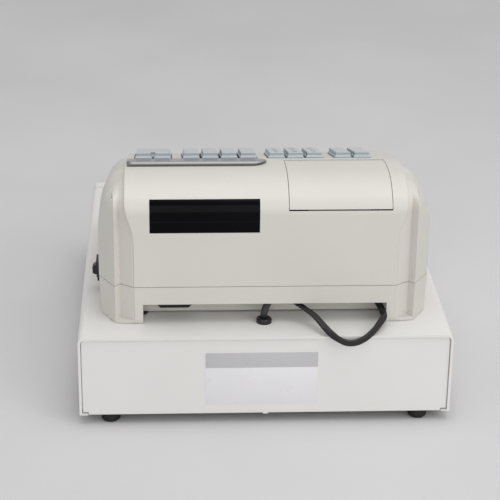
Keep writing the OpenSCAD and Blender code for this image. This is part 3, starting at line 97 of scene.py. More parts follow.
def stop(k):
    """Place and width direction of a stop, in millimetres from the drawer's rear top edge."""
    n = min(max(k, 0), len(route) - 1)
    away, wide = route[n]
    return cable_from.lerp(cable_to, n / (len(route) - 1)) + Vector(away), Vector(wide)


def between(a, b, c, d, t):
    """A smooth curve through b and c."""
    return 0.5 * (2 * b + (c - a) * t + (2 * a - 5 * b + 4 * c - d) * t * t
                  + (3 * b - a - 3 * c + d) * t ** 3)


STEPS = 6
cable_line, cable_wide = [], []
for k in range(len(route) - 1):
    for j in range(STEPS + (k == len(route) - 2)):
        ends = [stop(k + n) for n in (-1, 0, 1, 2)]
        place = between(*[e[0] for e in ends], j / STEPS)
        cable_line.append((place + Vector((0, drawer_rear, drawer_top))) * MM)
        cable_wide.append(between(*[e[1] for e in ends], j / STEPS))
cable_length = sum((b - a).length for a, b in zip(cable_line, cable_line[1:]))
print("cable length", round(cable_length, 4), "m through", len(cable_line), "points")

# %% The cable itself
CABLE_W, CABLE_T, ROUND = 0.0065, 0.0028, 16
cable = bmesh.new()
before = None
for n, place in enumerate(cable_line):
    along = (cable_line[min(n + 1, len(cable_line) - 1)] - cable_line[max(n - 1, 0)]).normalized()
    across = (cable_wide[n] - cable_wide[n].dot(along) * along).normalized()
    ring = bmesh.ops.create_circle(cable, segments=ROUND, radius=CABLE_T / 2,
                                   matrix=Matrix.Rotation(math.pi / ROUND, 4, "Z"))["verts"]
    # The circle is pulled apart into two round edges with flat sides between them
    for side in (1, -1):
        half = [v for v in ring if v.co.x * side > 0]
        bmesh.ops.translate(cable, vec=(side * (CABLE_W - CABLE_T) / 2, 0, 0), verts=half)
    turn = Matrix((across, along.cross(across), along)).transposed().to_4x4()
    bmesh.ops.transform(cable, matrix=Matrix.Translation(place) @ turn, verts=ring)
    loop = list({e for v in ring for e in v.link_edges})
    if before:
        bmesh.ops.bridge_loops(cable, edges=before + loop)
    else:
        first = loop
    before = loop
bmesh.ops.holes_fill(cable, edges=first + before, sides=0)
bmesh.ops.recalc_face_normals(cable, faces=cable.faces)
print("cable faces", len(cable.faces))

# %% [markdown]
# ## Turning a bmesh into a piece
# Every new piece is a mesh whose object stays at the origin, so that a pattern on object
# coordinates lies still and the piece moves with its body. One helper does that, smooths what is
# round and keeps what is sharp. A second one makes a block with rounded edges, the commonest
# small form here, and a third one a flat frame.

# %% Three helpers for new pieces
def piece(bm, name, body, sharp=40):
    """Makes an object of a bmesh and lets it ride on a body."""
    mesh = bpy.data.meshes.new(name)
    bm.to_mesh(mesh)
    bm.free()
    mesh.shade_smooth()
    mesh.set_sharp_from_angle(angle=math.radians(sharp))
    made = bpy.data.objects.new(name, mesh)
    bpy.context.scene.collection.objects.link(made)
    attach(made, body)
    return made


def rounded_block(bm, low, high, radius, segments=3):
    """A block between two corners, with rounded edges."""
    low, high = Vector(low), Vector(high)
    corners = bmesh.ops.create_cube(bm, size=1.0)["verts"]
    bmesh.ops.scale(bm, vec=high - low, verts=corners)
    bmesh.ops.translate(bm, vec=(low + high) / 2, verts=corners)
    edges = list({e for v in corners for e in v.link_edges})
    return bmesh.ops.bevel(bm, geom=edges, offset=radius, segments=segments, profile=0.5,
                           affect="EDGES", material=-1, clamp_overlap=True)["verts"]


def flat_ring(bm, width, height, rim, deep, corner):
    """A frame in the XY plane: a sheet with a window in it, rounded corners and a thickness."""
    sheet = bmesh.ops.create_grid(bm, x_segments=1, y_segments=1, size=0.5)["verts"]
    bmesh.ops.scale(bm, vec=(width, height, 1), verts=sheet)
    bmesh.ops.bevel(bm, geom=sheet, offset=corner, segments=6, profile=0.5, affect="VERTICES",
                    material=-1)
    middle = bm.faces[:]
    bmesh.ops.inset_region(bm, faces=middle, thickness=rim, use_boundary=True, use_even_offset=True)
    bmesh.ops.delete(bm, geom=middle, context="FACES")
    bmesh.ops.solidify(bm, geom=bm.faces[:], thickness=deep)
    bmesh.ops.recalc_face_normals(bm, faces=bm.faces)


flat_cable = piece(cable, "flat_cable", "base", sharp=60)
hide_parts("drawer_cable")
print("declared", flat_cable.name)

# %% [markdown]
# ## The soft corners of the upper shell
# A moulder lets the fluted corner of such a shell run on over the crown, and lets the outer facet
# melt into the shoulder. The frame's exact solids end both with a hard edge. So the upper shell
# is drawn once more: a copy of it is cut into small faces round its two rear corners, and every
# point there is then pulled onto a softer form. The form is not a mesh but a rule that says how
# far a point lies outside of it, which makes soft blends easy: where two surfaces meet, their two
# distances are mixed instead of taking the larger one.

# %% The register's side view, from behind, and its corner from above
REAR, HALF, STEP, WALL = 173.1, 156.0, 1.0, 2.5  # millimetres: rear face, half width, cheek, wall
REAR_ARC, CROWN_ARC, TOP_ARC = (20.0, 109.8, 19.0), (41.6, 81.0, 55.0), (41.6, -63.0, 199.0)
SHOULDER = ((56.0, 82.6, 100.0, 16.26), (123.2, 102.2, 30.0, 69.39), (102.08, 46.04, 90.0, 90.0))
CORNER = ((122.5, 0.0), (135.5, 9.0), (140.5, 3.2), (156.0, 29.0))
FADE = (28, 42)  # the depths between which the flute fades out
BLEND, BLEND_FROM = 9, (96, 112)  # reach of the soft blend, and the heights in which it grows
INNER, DEEPEST, LOWEST = 121, 61, 93  # where the work stops: distance from the middle, depth, height


def eased(low, high, value):
    """Rises from 0 to 1 between two values, with a soft start and end."""
    t = min(max((value - low) / (high - low), 0.0), 1.0)
    return t * t * (3 - 2 * t)


def corner_depth(x):
    """How far the corner lies behind the rear face, and how steeply it falls there."""
    for (x0, d0), (x1, d1) in zip(CORNER, CORNER[1:]):
        if x <= x1:
            slope = (d1 - d0) / (x1 - x0)
            return max(d0 + slope * (x - x0), 0.0), (slope if x > x0 else 0.0)
    return CORNER[-1][1], 0.0


def past_profile(u, h):
    """Distance outside the side view, and how much of its normal points backwards."""
    if h <= REAR_ARC[1]:
        return STEP - u, 1.0
    for n, (centre, height, radius) in enumerate((REAR_ARC, CROWN_ARC, TOP_ARC)):
        back, up = centre - u, h - height
        if n == 2 or math.atan2(up, back) <= (math.atan(4 / 3), math.pi / 2)[n]:
            away = math.hypot(back, up)
            return away - radius, back / away


def past_shoulder(x, h):
    """Distance outside the front view."""
    if h <= SHOULDER[0][1]:
        return x - HALF
    for middle, height, radius, turn in SHOULDER:
        if math.degrees(math.atan2(h - height, x - middle)) <= turn or turn == 90.0:
            return math.hypot(x - middle, h - height) - radius


def past_frame(x, u, h):
    """Distance outside the cheeks as they are in the frame."""
    depth, slope = corner_depth(x)
    return max(past_profile(u, h)[0], (depth - u) / math.hypot(1, slope), past_shoulder(x, h))


def past_form(x, u, h, corner):
    """Distance outside the cheeks with soft corners."""
    depth, slope = corner
    side = past_shoulder(x, h)
    fade = 1 - eased(*FADE, u)
    rear, backwards = past_profile(u - max(depth - STEP, 0.0) * fade, h)
    rear /= math.hypot(1, slope * backwards * fade)
    reach = BLEND * fade * eased(*BLEND_FROM, h) + 0.001
    return max(rear, side) + max(reach - abs(rear - side), 0.0) ** 2 / (4 * reach)


# %% Pull the corner's points onto the soft form
def local(co):
    """Distance from the middle, depth behind the rear face and height on the drawer, in mm."""
    return Vector((abs(co.x) / MM, REAR - co.y / MM, co.z / MM - drawer_top))


def away_from_form(spot, corner=None):
    """The direction in which a point leaves the form fastest, across its corner or along it."""
    rise = []
    for step in (Vector((0.01, 0, 0)), Vector((0, 0.01, 0)), Vector((0, 0, 0.01))):
        ends = [past_form(*end, corner or corner_depth(end.x)) for end in (spot + step, spot - step)]
        rise.append((ends[0] - ends[1]) / 0.02)
    return Vector(rise)


def near_corner(face):
    """Whether a face lies in the part of the shell that is worked on."""
    return all(x > INNER - 0.1 and u < DEEPEST + 1 and h > LOWEST - 1
               for x, u, h in (local(v.co) for v in face.verts))


def region(bm, chosen):
    """The chosen faces with their edges and points."""
    faces = [f for f in bm.faces if chosen(f)]
    return faces + list({e for f in faces for e in f.edges} | {v for f in faces for v in f.verts})


# The frame's own normals are kept in a layer, which every cut carries on to its new points
source = bpy.data.objects["upper_housing"].data
shell = bmesh.new()
shell.from_mesh(source)
facing = shell.loops.layers.float_vector.new("facing")
for face in shell.faces:
    for loop in face.loops:
        loop[facing] = source.corner_normals[loop.index].vector
bmesh.ops.remove_doubles(shell, verts=shell.verts, dist=1e-6)
border = [((s * INNER * MM, 0, 0), (1, 0, 0)) for s in (1, -1)]
border += [((0, (REAR - DEEPEST) * MM, 0), (0, 1, 0))]
border += [((0, 0, (drawer_top + LOWEST) * MM), (0, 0, 1))]
cuts = [((s * x * MM, 0, 0), (1, 0, 0)) for s in (1, -1) for x in (
    124, 126.5, 129, 131, 132.5, 134, 135.5, 137, 139, 140.5, 142, 144, 146.5, 149, 152)]
cuts += [((0, 0, (drawer_top + h) * MM), (0, 0, 1))
         for h in (96, 100, 104, 107, 109.8, *range(111, 137, 2))]
cuts += [((0, (REAR - u) * MM, 0), (0, 1, 0)) for u in range(4, 60, 4)]
for n, (spot, normal) in enumerate(border + cuts):
    chosen = region(shell, near_corner if n >= len(border) else lambda face: True)
    bmesh.ops.bisect_plane(shell, geom=chosen, dist=1e-6, plane_co=spot, plane_no=normal)
bmesh.ops.triangulate(shell, faces=[f for f in shell.faces if len(f.verts) > 3])

# %% Move them
PANEL_RISE = 0.5  # what stands out further than this belongs to the raised top panel
LINE_KEPT = 2.2  # how close to one of the flute's two lines a point stays beside it
ROUNDS = 5
was = {v: past_frame(*local(v.co)) for f in shell.faces if near_corner(f) for v in f.verts}
for v, before in was.items():
    target = 0.0 if before > -WALL / 2 else -WALL
    spot = local(v.co)
    if before > PANEL_RISE or (target and past_form(*spot, corner_depth(spot.x)) <= target):
        continue  # on the raised top panel, or deep inside
    for _ in range(ROUNDS):
        corner = corner_depth(spot.x)
        rise = away_from_form(spot, corner)
        if min(abs(spot.x - line) for line, depth in CORNER[1:3]) < LINE_KEPT:
            rise.x = 0.0
        spot -= rise * (past_form(*spot, corner) - target) / max(rise.length_squared, 0.2)
    v.co = Vector((math.copysign(spot.x, v.co.x), REAR - spot.y, drawer_top + spot.z)) * MM
shell.normal_update()
turned = 0
for face in shell.faces:
    if all(v in was and -WALL / 2 < was[v] < PANEL_RISE for v in face.verts):
        middle = local(face.calc_center_median())
        for loop in face.loops:
            out = away_from_form(local(loop.vert.co).lerp(middle, 0.2)).normalized()
            out = Vector((math.copysign(out.x, out.x * loop.vert.co.x), -out.y, out.z))
            if out.dot(face.normal) > 0.7:
                loop[facing] = out
                turned += 1
print("points moved", len(was), "of", len(shell.verts), "normals turned", turned)

# %% The shell as a piece of its own
normals = [loop[facing].copy() for face in shell.faces for loop in face.loops]
upper_shell = piece(shell, "upper_shell", "base", sharp=180)
upper_shell.data.normals_split_custom_set(normals)
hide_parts("upper_housing")

# %% [markdown]
# ## Floor, daylight and lamps
# The register stands on a pale cloth-covered table. A large lamp above, one on the customer's
# right and a low one behind the customer's back give soft shadows and a slow change of tone round
# the rounded shell. The world adds an even level from all sides; in the camera and in
# reflections it shows as the same pale grey as the floor. The Standard view shows a colour as it
# is written, without the soft shoulder of film.

# %% World
bpy.context.scene.view_settings.view_transform = "Standard"
world = bpy.data.worlds.new("studio")
bpy.context.scene.world = world
world.use_nodes = True
air = world.node_tree
air.nodes.clear()
seen_by = air.nodes.new("ShaderNodeLightPath")
either = air.nodes.new("ShaderNodeMath")
either.operation = "MAXIMUM"
glossy = air.nodes.new("ShaderNodeMath")
glossy.operation = "MAXIMUM"
pale, even, choose = (air.nodes.new("ShaderNodeBackground"), air.nodes.new("ShaderNodeBackground"),
                      air.nodes.new("ShaderNodeMixShader"))
pale.inputs["Color"].default_value = (0.56, 0.55, 0.555, 1)
even.inputs["Color"].default_value = (1.0, 1.0, 1.0, 1)
even.inputs["Strength"].default_value = 0.56
sky = air.nodes.new("ShaderNodeOutputWorld")
air.links.new(seen_by.outputs["Is Glossy Ray"], glossy.inputs[0])
air.links.new(seen_by.outputs["Is Transmission Ray"], glossy.inputs[1])
air.links.new(seen_by.outputs["Is Camera Ray"], either.inputs[0])
air.links.new(glossy.outputs[0], either.inputs[1])
air.links.new(either.outputs[0], choose.inputs[0])
air.links.new(even.outputs[0], choose.inputs[1])
air.links.new(pale.outputs[0], choose.inputs[2])
air.links.new(choose.outputs[0], sky.inputs["Surface"])
print("world level", even.inputs["Strength"].default_value)

# %% Lamps
LIT = Vector((0, 0.05, 0.1))


def lamp(name, place, size, watts):
    """A square lamp that shines on the register."""
    data = bpy.data.lights.new(name, "AREA")
    data.shape, data.size, data.energy = "SQUARE", size, watts
    made = bpy.data.objects.new(name, data)
    bpy.context.scene.collection.objects.link(made)
    direction = (LIT - Vector(place)).to_track_quat("-Z", "Y")
    made.matrix_world = Matrix.Translation(place) @ direction.to_matrix().to_4x4()


lamp("lamp_above", (-0.2, 0.3, 2.2), 1.8, 18)
lamp("lamp_customer_right", (-1.5, 1.5, 1.3), 1.2, 9.5)
lamp("lamp_low", (-0.1, 2.4, 0.7), 1.6, 11)
print("lamps", len(bpy.data.lights))

# %% [markdown]
# ## Shared effects
# Several finishes need the same effects: slow changes of tone, the grain of a mould or of a
# powder coat, edges that are rounded and rubbed, and dust that settles on what faces up. Each is
# a node group that is built once, with its amounts, if it has any, as inputs. All of them read object
# coordinates, in metres, so a scale of 1000 makes a pattern of about a millimetre.

# %% Building node groups
def group(name, inputs, outputs):
    """An empty node group with named sockets: (name, kind, default)."""
    made = bpy.data.node_groups.new(name, "ShaderNodeTree")
    kinds = {"value": "NodeSocketFloat", "colour": "NodeSocketColor", "vector": "NodeSocketVector"}
    for label, kind, default in inputs:
        socket = made.interface.new_socket(label, in_out="INPUT", socket_type=kinds[kind])
        socket.default_value = default
    for label, kind in outputs:
        made.interface.new_socket(label, in_out="OUTPUT", socket_type=kinds[kind])
    return made, made.nodes.new("NodeGroupInput"), made.nodes.new("NodeGroupOutput")


def add(tree, kind, **settings):
    """A node whose settings are given by name, with its unlinked sockets by number as s0, s1."""
    made = tree.nodes.new(kind)
    for label, value in settings.items():
        if label[0] == "s" and label[1:].isdigit():
            made.inputs[int(label[1:])].default_value = value
        else:
            setattr(made, label, value)
    return made


def spread(tree, source, low, high, to_low=0.0, to_high=1.0):
    """Stretches the part of a value between low and high, and cuts the rest off."""
    made = add(tree, "ShaderNodeMapRange", clamp=True, s1=low, s2=high, s3=to_low, s4=to_high)
    tree.links.new(source, made.inputs[0])
    return made.outputs[0]


def blend_colours(tree, factor, a, b):
    """Mixes two colours; each may be a socket or a plain colour."""
    made = add(tree, "ShaderNodeMix", data_type="RGBA")
    for source, socket in ((factor, made.inputs[0]), (a, made.inputs[6]), (b, made.inputs[7])):
        if isinstance(source, (tuple, float)):
            socket.default_value = source
        else:
            tree.links.new(source, socket)
    return made.outputs[2]


def noise(tree, scale, detail=2.0, stretch=None):
    """Noise on object coordinates. scale may be a socket; stretch squeezes it along the axes."""
    spot = add(tree, "ShaderNodeTexCoord").outputs["Object"]
    if stretch:
        mapped = add(tree, "ShaderNodeMapping", s3=stretch)
        tree.links.new(spot, mapped.inputs[0])
        spot = mapped.outputs[0]
    made = add(tree, "ShaderNodeTexNoise", s3=detail)
    tree.links.new(spot, made.inputs["Vector"])
    if isinstance(scale, (int, float)):
        made.inputs["Scale"].default_value = scale
    else:
        tree.links.new(scale, made.inputs["Scale"])
    return made.outputs["Fac"]


# %% Slow changes of tone
clouded, take, give = group("clouded_tone", [
    ("Light", "colour", (0.8, 0.8, 0.8, 1)), ("Dark", "colour", (0.7, 0.7, 0.7, 1)),
    ("Scale", "value", 20.0)], [("Color", "colour")])
cloud = spread(clouded, noise(clouded, take.outputs["Scale"], 3.0), 0.32, 0.68)
clouded.links.new(blend_colours(clouded, cloud, take.outputs["Light"], take.outputs["Dark"]),
                  give.inputs["Color"])
print(clouded.name)

# %% Grain of a mould, a powder coat or cast rubber
grain, take, give = group("surface_grain", [
    ("Scale", "value", 1500.0), ("Smooth", "value", 0.4), ("Rough", "value", 0.5)],
    [("Height", "value"), ("Roughness", "value")])
fine = noise(grain, take.outputs["Scale"], 3.0)
grain.links.new(fine, give.inputs["Height"])
patches = add(grain, "ShaderNodeMapRange", clamp=True, s1=0.3, s2=0.7)
grain.links.new(noise(grain, 35.0, 3.0), patches.inputs[0])
grain.links.new(take.outputs["Smooth"], patches.inputs[3])
grain.links.new(take.outputs["Rough"], patches.inputs[4])
grain.links.new(patches.outputs[0], give.inputs["Roughness"])
print(grain.name)

# %% [markdown]
# The frame's edges are perfectly sharp, and real ones never are. The Bevel node looks at the
# surface nearby and bends the normal as if the edge were rounded. Where the bent normal leaves
# the true one there is an edge, so the same node also gives the mask for rubbed paint.

# %% Rounded and rubbed edges
edges, take, give = group("rounded_edges", [("Radius", "value", 0.0005), ("Rubbing", "value", 0.5)],
                          [("Normal", "vector"), ("Rubbed", "value")])
bent = add(edges, "ShaderNodeBevel", samples=6)
edges.links.new(take.outputs["Radius"], bent.inputs["Radius"])
true = add(edges, "ShaderNodeNewGeometry")
same = add(edges, "ShaderNodeVectorMath", operation="DOT_PRODUCT")
edges.links.new(bent.outputs[0], same.inputs[0])
edges.links.new(true.outputs["Normal"], same.inputs[1])
away = spread(edges, same.outputs["Value"], 0.995, 0.8)
broken = add(edges, "ShaderNodeMath", operation="MULTIPLY")
edges.links.new(away, broken.inputs[0])
edges.links.new(spread(edges, noise(edges, 160.0, 5.0), 0.4, 0.62), broken.inputs[1])
amount = add(edges, "ShaderNodeMath", operation="MULTIPLY")
edges.links.new(broken.outputs[0], amount.inputs[0])
edges.links.new(take.outputs["Rubbing"], amount.inputs[1])
edges.links.new(bent.outputs[0], give.inputs["Normal"])
edges.links.new(amount.outputs[0], give.inputs["Rubbed"])
print(edges.name)

# %% Dust on what faces up
dust, take, give = group("settled_dust", [("Amount", "value", 0.1)], [("Mask", "value")])
facing = add(dust, "ShaderNodeSeparateXYZ")
dust.links.new(add(dust, "ShaderNodeNewGeometry").outputs["Normal"], facing.inputs[0])
lying = add(dust, "ShaderNodeMath", operation="MULTIPLY")
dust.links.new(spread(dust, facing.outputs["Z"], 0.55, 0.95), lying.inputs[0])
dust.links.new(spread(dust, noise(dust, 55.0, 6.0), 0.42, 0.7), lying.inputs[1])
laid = add(dust, "ShaderNodeMath", operation="MULTIPLY")
dust.links.new(lying.outputs[0], laid.inputs[0])
dust.links.new(take.outputs["Amount"], laid.inputs[1])
dust.links.new(laid.outputs[0], give.inputs["Mask"])
print(dust.name)

# %% Steep flanks
# A mask of steep faces, through which the keys get their painted shade
steep, take, give = group("steep_flanks", [], [("Mask", "value")])
leaning = add(steep, "ShaderNodeSeparateXYZ")
steep.links.new(add(steep, "ShaderNodeNewGeometry").outputs["Normal"], leaning.inputs[0])
steep.links.new(spread(steep, leaning.outputs["Z"], 0.86, 0.45), give.inputs["Mask"])
print(steep.name)

# %% Crystals of a zinc coat
spangle, take, give = group("zinc_spangle", [
    ("Light", "colour", (0.6, 0.6, 0.6, 1)), ("Dark", "colour", (0.4, 0.4, 0.4, 1)),
    ("Scale", "value", 160.0)], [("Color", "colour"), ("Roughness", "value")])
cells = add(spangle, "ShaderNodeTexVoronoi")
spangle.links.new(add(spangle, "ShaderNodeTexCoord").outputs["Object"], cells.inputs["Vector"])
spangle.links.new(take.outputs["Scale"], cells.inputs["Scale"])
each = add(spangle, "ShaderNodeSeparateXYZ")
spangle.links.new(cells.outputs["Color"], each.inputs[0])
spangle.links.new(blend_colours(spangle, each.outputs["X"], take.outputs["Light"],
                                take.outputs["Dark"]), give.inputs["Color"])
spangle.links.new(spread(spangle, each.outputs["Y"], 0.0, 1.0, 0.3, 0.46), give.inputs["Roughness"])
print(spangle.name)

# %% Fine lines from rolling, turning or drawing
lines, take, give = group("drawn_lines", [("Across", "vector", (900.0, 8.0, 900.0)),
    ("Smooth", "value", 0.2), ("Rough", "value", 0.4)], [("Height", "value"), ("Roughness", "value")])
squeezed = add(lines, "ShaderNodeVectorMath", operation="MULTIPLY")
lines.links.new(add(lines, "ShaderNodeTexCoord").outputs["Object"], squeezed.inputs[0])
lines.links.new(take.outputs["Across"], squeezed.inputs[1])
drawn = add(lines, "ShaderNodeTexNoise", s2=1.0, s3=2.0)
lines.links.new(squeezed.outputs[0], drawn.inputs["Vector"])
between_two = add(lines, "ShaderNodeMapRange", clamp=True, s1=0.3, s2=0.7)
lines.links.new(drawn.outputs["Fac"], between_two.inputs[0])
lines.links.new(take.outputs["Smooth"], between_two.inputs[3])
lines.links.new(take.outputs["Rough"], between_two.inputs[4])
lines.links.new(drawn.outputs["Fac"], give.inputs["Height"])
lines.links.new(between_two.outputs[0], give.inputs["Roughness"])
print(lines.name)

# %% [markdown]
# ## Mixing a finish
# Most finishes here are one recipe with other amounts: two close tones in slow clouds, a lighter
# tone where edges are rubbed, a little dust, a fine grain that feeds both bump and roughness, and
# rounded edges. The shader itself stays in the material, and every number that is the same all
# over, such as how metallic it is, is set on the shader's own socket.

# %% The recipe
def tone(red, green, blue):
    """A screen colour from 0 to 255 as the linear light that the shader wants."""
    return tuple(v / 3294.6 if v <= 10 else ((v / 255 + 0.055) / 1.055) ** 2.4
                 for v in (red, green, blue)) + (1.0,)


DUST_TONE = tone(196, 192, 184)


def placed(tree, effect, **amounts):
    """A shared effect in a material, with its amounts."""
    made = tree.nodes.new("ShaderNodeGroup")
    made.node_tree = effect
    for label, value in amounts.items():
        made.inputs[label].default_value = value
    return made


def begin(name):
    """A material with nothing but its shader."""
    made = bpy.data.materials.new(name)
    made.use_nodes = True
    tree = made.node_tree
    tree.nodes.clear()
    shader, out = add(tree, "ShaderNodeBsdfPrincipled"), add(tree, "ShaderNodeOutputMaterial")
    tree.links.new(shader.outputs["BSDF"], out.inputs["Surface"])
    return made, tree, shader


def finish(name, light, dark, rubbed=None, cloud=20.0, scale=1500.0, smooth=0.4, rough=0.5,
           bump=0.2, depth=0.0001, radius=0.0004, rubbing=0.5, dusty=0.0, tones=clouded,
           texture=grain, across=None, flank_shade=None, **shading):
    """A material by the common recipe; scales are per metre, depth and radius in metres."""
    made, tree, shader = begin(name)
    tint = placed(tree, tones, Light=light, Dark=dark, Scale=cloud)
    skin = placed(tree, texture, Smooth=smooth, Rough=rough)
    if across:
        skin.inputs["Across"].default_value = across
    else:
        skin.inputs["Scale"].default_value = scale
    rim = placed(tree, edges, Radius=radius, Rubbing=rubbing)
    colour = tint.outputs["Color"]
    if rubbed:
        colour = blend_colours(tree, rim.outputs["Rubbed"], colour, rubbed)
    # Painted shade: a darker tone on steep faces
    if flank_shade:
        colour = blend_colours(tree, placed(tree, steep).outputs["Mask"], colour, flank_shade)
    if dusty:
        film = placed(tree, dust, Amount=dusty)
        colour = blend_colours(tree, film.outputs["Mask"], colour, DUST_TONE)
    relief = add(tree, "ShaderNodeBump")
    relief.inputs["Strength"].default_value = bump
    relief.inputs["Distance"].default_value = depth
    tree.links.new(skin.outputs["Height"], relief.inputs["Height"])
    tree.links.new(rim.outputs["Normal"], relief.inputs["Normal"])
    tree.links.new(colour, shader.inputs["Base Color"])
    tree.links.new(skin.outputs["Roughness"], shader.inputs["Roughness"])
    tree.links.new(relief.outputs["Normal"], shader.inputs["Normal"])
    for label, value in shading.items():
        shader.inputs[label.replace("_", " ")].default_value = value
    return made


def wear(material, *names):
    """Puts a material on nodes of the frame or on new pieces."""
    for name in names:
        slots = bpy.data.objects[name].data.materials
        if len(slots):
            for n in range(len(slots)):
                slots[n] = material
        else:
            slots.append(material)
    print(material.name, "on", len(names))


# %% [markdown]
# ## The shell's plastic
# The register's two shells and the printer cover are moulded in warm white plastic with a fine
# spark-eroded grain. It is matt enough to show no mirror image, but smooth enough to lift a soft
# light band over the ridge.

# %% Shell plastic
housing = finish("housing_plastic", tone(213, 210, 203), tone(209, 206, 199), tone(224, 222, 216),
                 cloud=9.0, scale=2400.0, smooth=0.40, rough=0.48, bump=0.22, depth=0.00006,
                 radius=0.0005, rubbing=0.5, dusty=0.05)
wear(housing, "lower_housing", "upper_housing", "upper_shell", "printer_cover")

# %% [markdown]
# ## The drawer's powder coat
# Case, rear panel and front are steel under an off-white powder coat. A powder coat flows a
# little before it sets and keeps soft dimples a millimetre or so apart, called orange peel. It is
# whiter and cooler than the plastic above it, and it rubs thin along the folds.

# %% Powder coat
powder = finish("drawer_powder_coat", tone(230, 228, 226), tone(226, 224, 221), tone(208, 206, 202),
                cloud=6.0, scale=900.0, smooth=0.36, rough=0.46, bump=0.3, depth=0.00008,
                radius=0.0007, rubbing=0.25, dusty=0.06)
wear(powder, "drawer_case", "drawer_rear_panel", "drawer_front")

# %% [markdown]
# ## Zinc-coated steel
# Base plate, rails, tray and latch stay unpainted. Hot-dipped zinc freezes in crystals, each of
# which shines a little differently, so the tone comes from Voronoi cells.

# %% Zinc
zinc = finish("zinc_coat", tone(186, 188, 190), tone(160, 163, 167), tone(214, 216, 218),
              cloud=150.0, scale=500.0, smooth=0.3, rough=0.44, bump=0.1, depth=0.00005,
              radius=0.0003, rubbing=0.6, dusty=0.12, tones=spangle, Metallic=0.9)
wear(zinc, "drawer_base", "slide_rails", "drawer_tray", "latch_lever")

# %% Clips and tear bar
pressed = finish("pressed_steel", tone(170, 172, 176), tone(150, 152, 157), tone(205, 207, 210),
                 cloud=60.0, smooth=0.22, rough=0.36, bump=0.15, depth=0.00004, radius=0.0003,
                 texture=lines, across=(1200.0, 20.0, 1200.0), Metallic=1.0)
wear(pressed, "bill_clip_1", "bill_clip_2", "bill_clip_3", "bill_clip_4")
blade = finish("blade_steel", tone(196, 198, 202), tone(180, 183, 188), tone(225, 226, 228),
               cloud=80.0, smooth=0.16, rough=0.28, bump=0.12, depth=0.00003, radius=0.0001,
               texture=lines, across=(15.0, 1200.0, 1200.0), Metallic=1.0)
wear(blade, "tear_bar")

# %% Lock
chrome = finish("lock_chrome", tone(208, 209, 212), tone(198, 200, 204), tone(228, 229, 230),
                cloud=40.0, smooth=0.06, rough=0.14, bump=0.05, depth=0.00002, radius=0.0004,
                scale=700.0, Metallic=1.0)
wear(chrome, "lock_body")
plug_chrome = finish("lock_plug_chrome", tone(196, 197, 201), tone(184, 186, 190),
                     tone(224, 224, 226), cloud=40.0, smooth=0.12, rough=0.24, bump=0.1,
                     depth=0.00002, radius=0.0003, texture=lines, across=(1500.0, 30.0, 60.0),
                     Metallic=1.0)
wear(plug_chrome, "lock_cylinder")

# %% [markdown]
# ## Black plastics and rubber
# The cable's jacket is soft and slightly greasy, the mouldings of plug, switch and inlet are
# harder and glossier, and the feet are dull. All are nearly black, so the difference lies in
# roughness and in how light the rubbed edges are.

# %% Black parts
jacket = finish("cable_jacket", tone(24, 24, 25), tone(19, 19, 20), tone(44, 44, 46), cloud=60.0,
                scale=2500.0, smooth=0.36, rough=0.48, bump=0.15, depth=0.00005, radius=0.0004,
                rubbing=0.4)
wear(jacket, "flat_cable")
ring_rubber = finish("ring_rubber", tone(22, 22, 23), tone(18, 18, 19), tone(44, 44, 46),
                     cloud=90.0, scale=1800.0, smooth=0.3, rough=0.42, bump=0.2, depth=0.00005,
                     radius=0.0006, dusty=0.12)
wear(ring_rubber, "cable_grommet")
foot_rubber = finish("foot_rubber", tone(22, 21, 21), tone(17, 17, 17), tone(44, 43, 42),
                     cloud=70.0, scale=1100.0, smooth=0.52, rough=0.68, bump=0.35, depth=0.0001,
                     radius=0.0007)
wear(foot_rubber, "drawer_feet", "register_feet")
black = finish("black_moulding", tone(26, 26, 27), tone(21, 21, 22), tone(50, 50, 52), cloud=50.0,
               scale=2000.0, smooth=0.3, rough=0.4, bump=0.15, depth=0.00005, radius=0.0004,
               dusty=0.06)
wear(black, "cable_plug", "switch_body", "mains_inlet", "cable_jack")
rocker = finish("rocker_gloss", tone(23, 23, 24), tone(19, 19, 20), tone(58, 58, 60), cloud=50.0,
                scale=2600.0, smooth=0.18, rough=0.26, bump=0.08, depth=0.00004, radius=0.0006,
                rubbing=0.7)
wear(rocker, "switch_rocker")
insert = finish("insert_moulding", tone(54, 54, 57), tone(45, 45, 48), tone(86, 86, 88),
                cloud=18.0, scale=1500.0, smooth=0.44, rough=0.56, bump=0.3, depth=0.00008,
                radius=0.0008, dusty=0.2)
wear(insert, "cash_insert")
chassis = finish("chassis_moulding", tone(84, 86, 89), tone(74, 76, 79), tone(118, 120, 122),
                 cloud=25.0, scale=1600.0, smooth=0.46, rough=0.58, bump=0.25, depth=0.00007,
                 radius=0.0005, dusty=0.1)
wear(chassis, "printer_frame", "key_frame")
platen = finish("platen_rubber", tone(44, 44, 45), tone(38, 38, 39), tone(60, 60, 60), cloud=90.0,
                smooth=0.5, rough=0.62, bump=0.25, depth=0.00005, radius=0.0004, texture=lines,
                across=(1800.0, 60.0, 60.0))
wear(platen, "platen_roller")

# %% [markdown]
# ## Tinted windows
# The customer window is nearly black acrylic with a polished face, and one faint lighter line
# across it is a painted highlight along its bend. The lens over the operator's display is a smoked
# moulding: pale along its top, which is a painted reflection, nearly black low on its faces, which
# is painted shade of the dark inside, and with a lighter foot. Both are kept opaque, because what
# lies behind them stays dark anyway, so the smoke is a gradient over the height above the counter.

# %% Windows
def over_height(tree, low, high):
    """A mask that rises between two heights above the counter, in metres."""
    spot = add(tree, "ShaderNodeSeparateXYZ")
    tree.links.new(add(tree, "ShaderNodeTexCoord").outputs["Object"], spot.inputs[0])
    return spread(tree, spot.outputs["Z"], low, high)


def repaint(material, mask, colour):
    """Lays another tone over a finished material wherever the mask is."""
    tree = material.node_tree
    base = next(n for n in tree.nodes if n.type == "BSDF_PRINCIPLED").inputs["Base Color"]
    under = base.links[0].from_socket
    tree.links.new(blend_colours(tree, mask, under, colour), base)
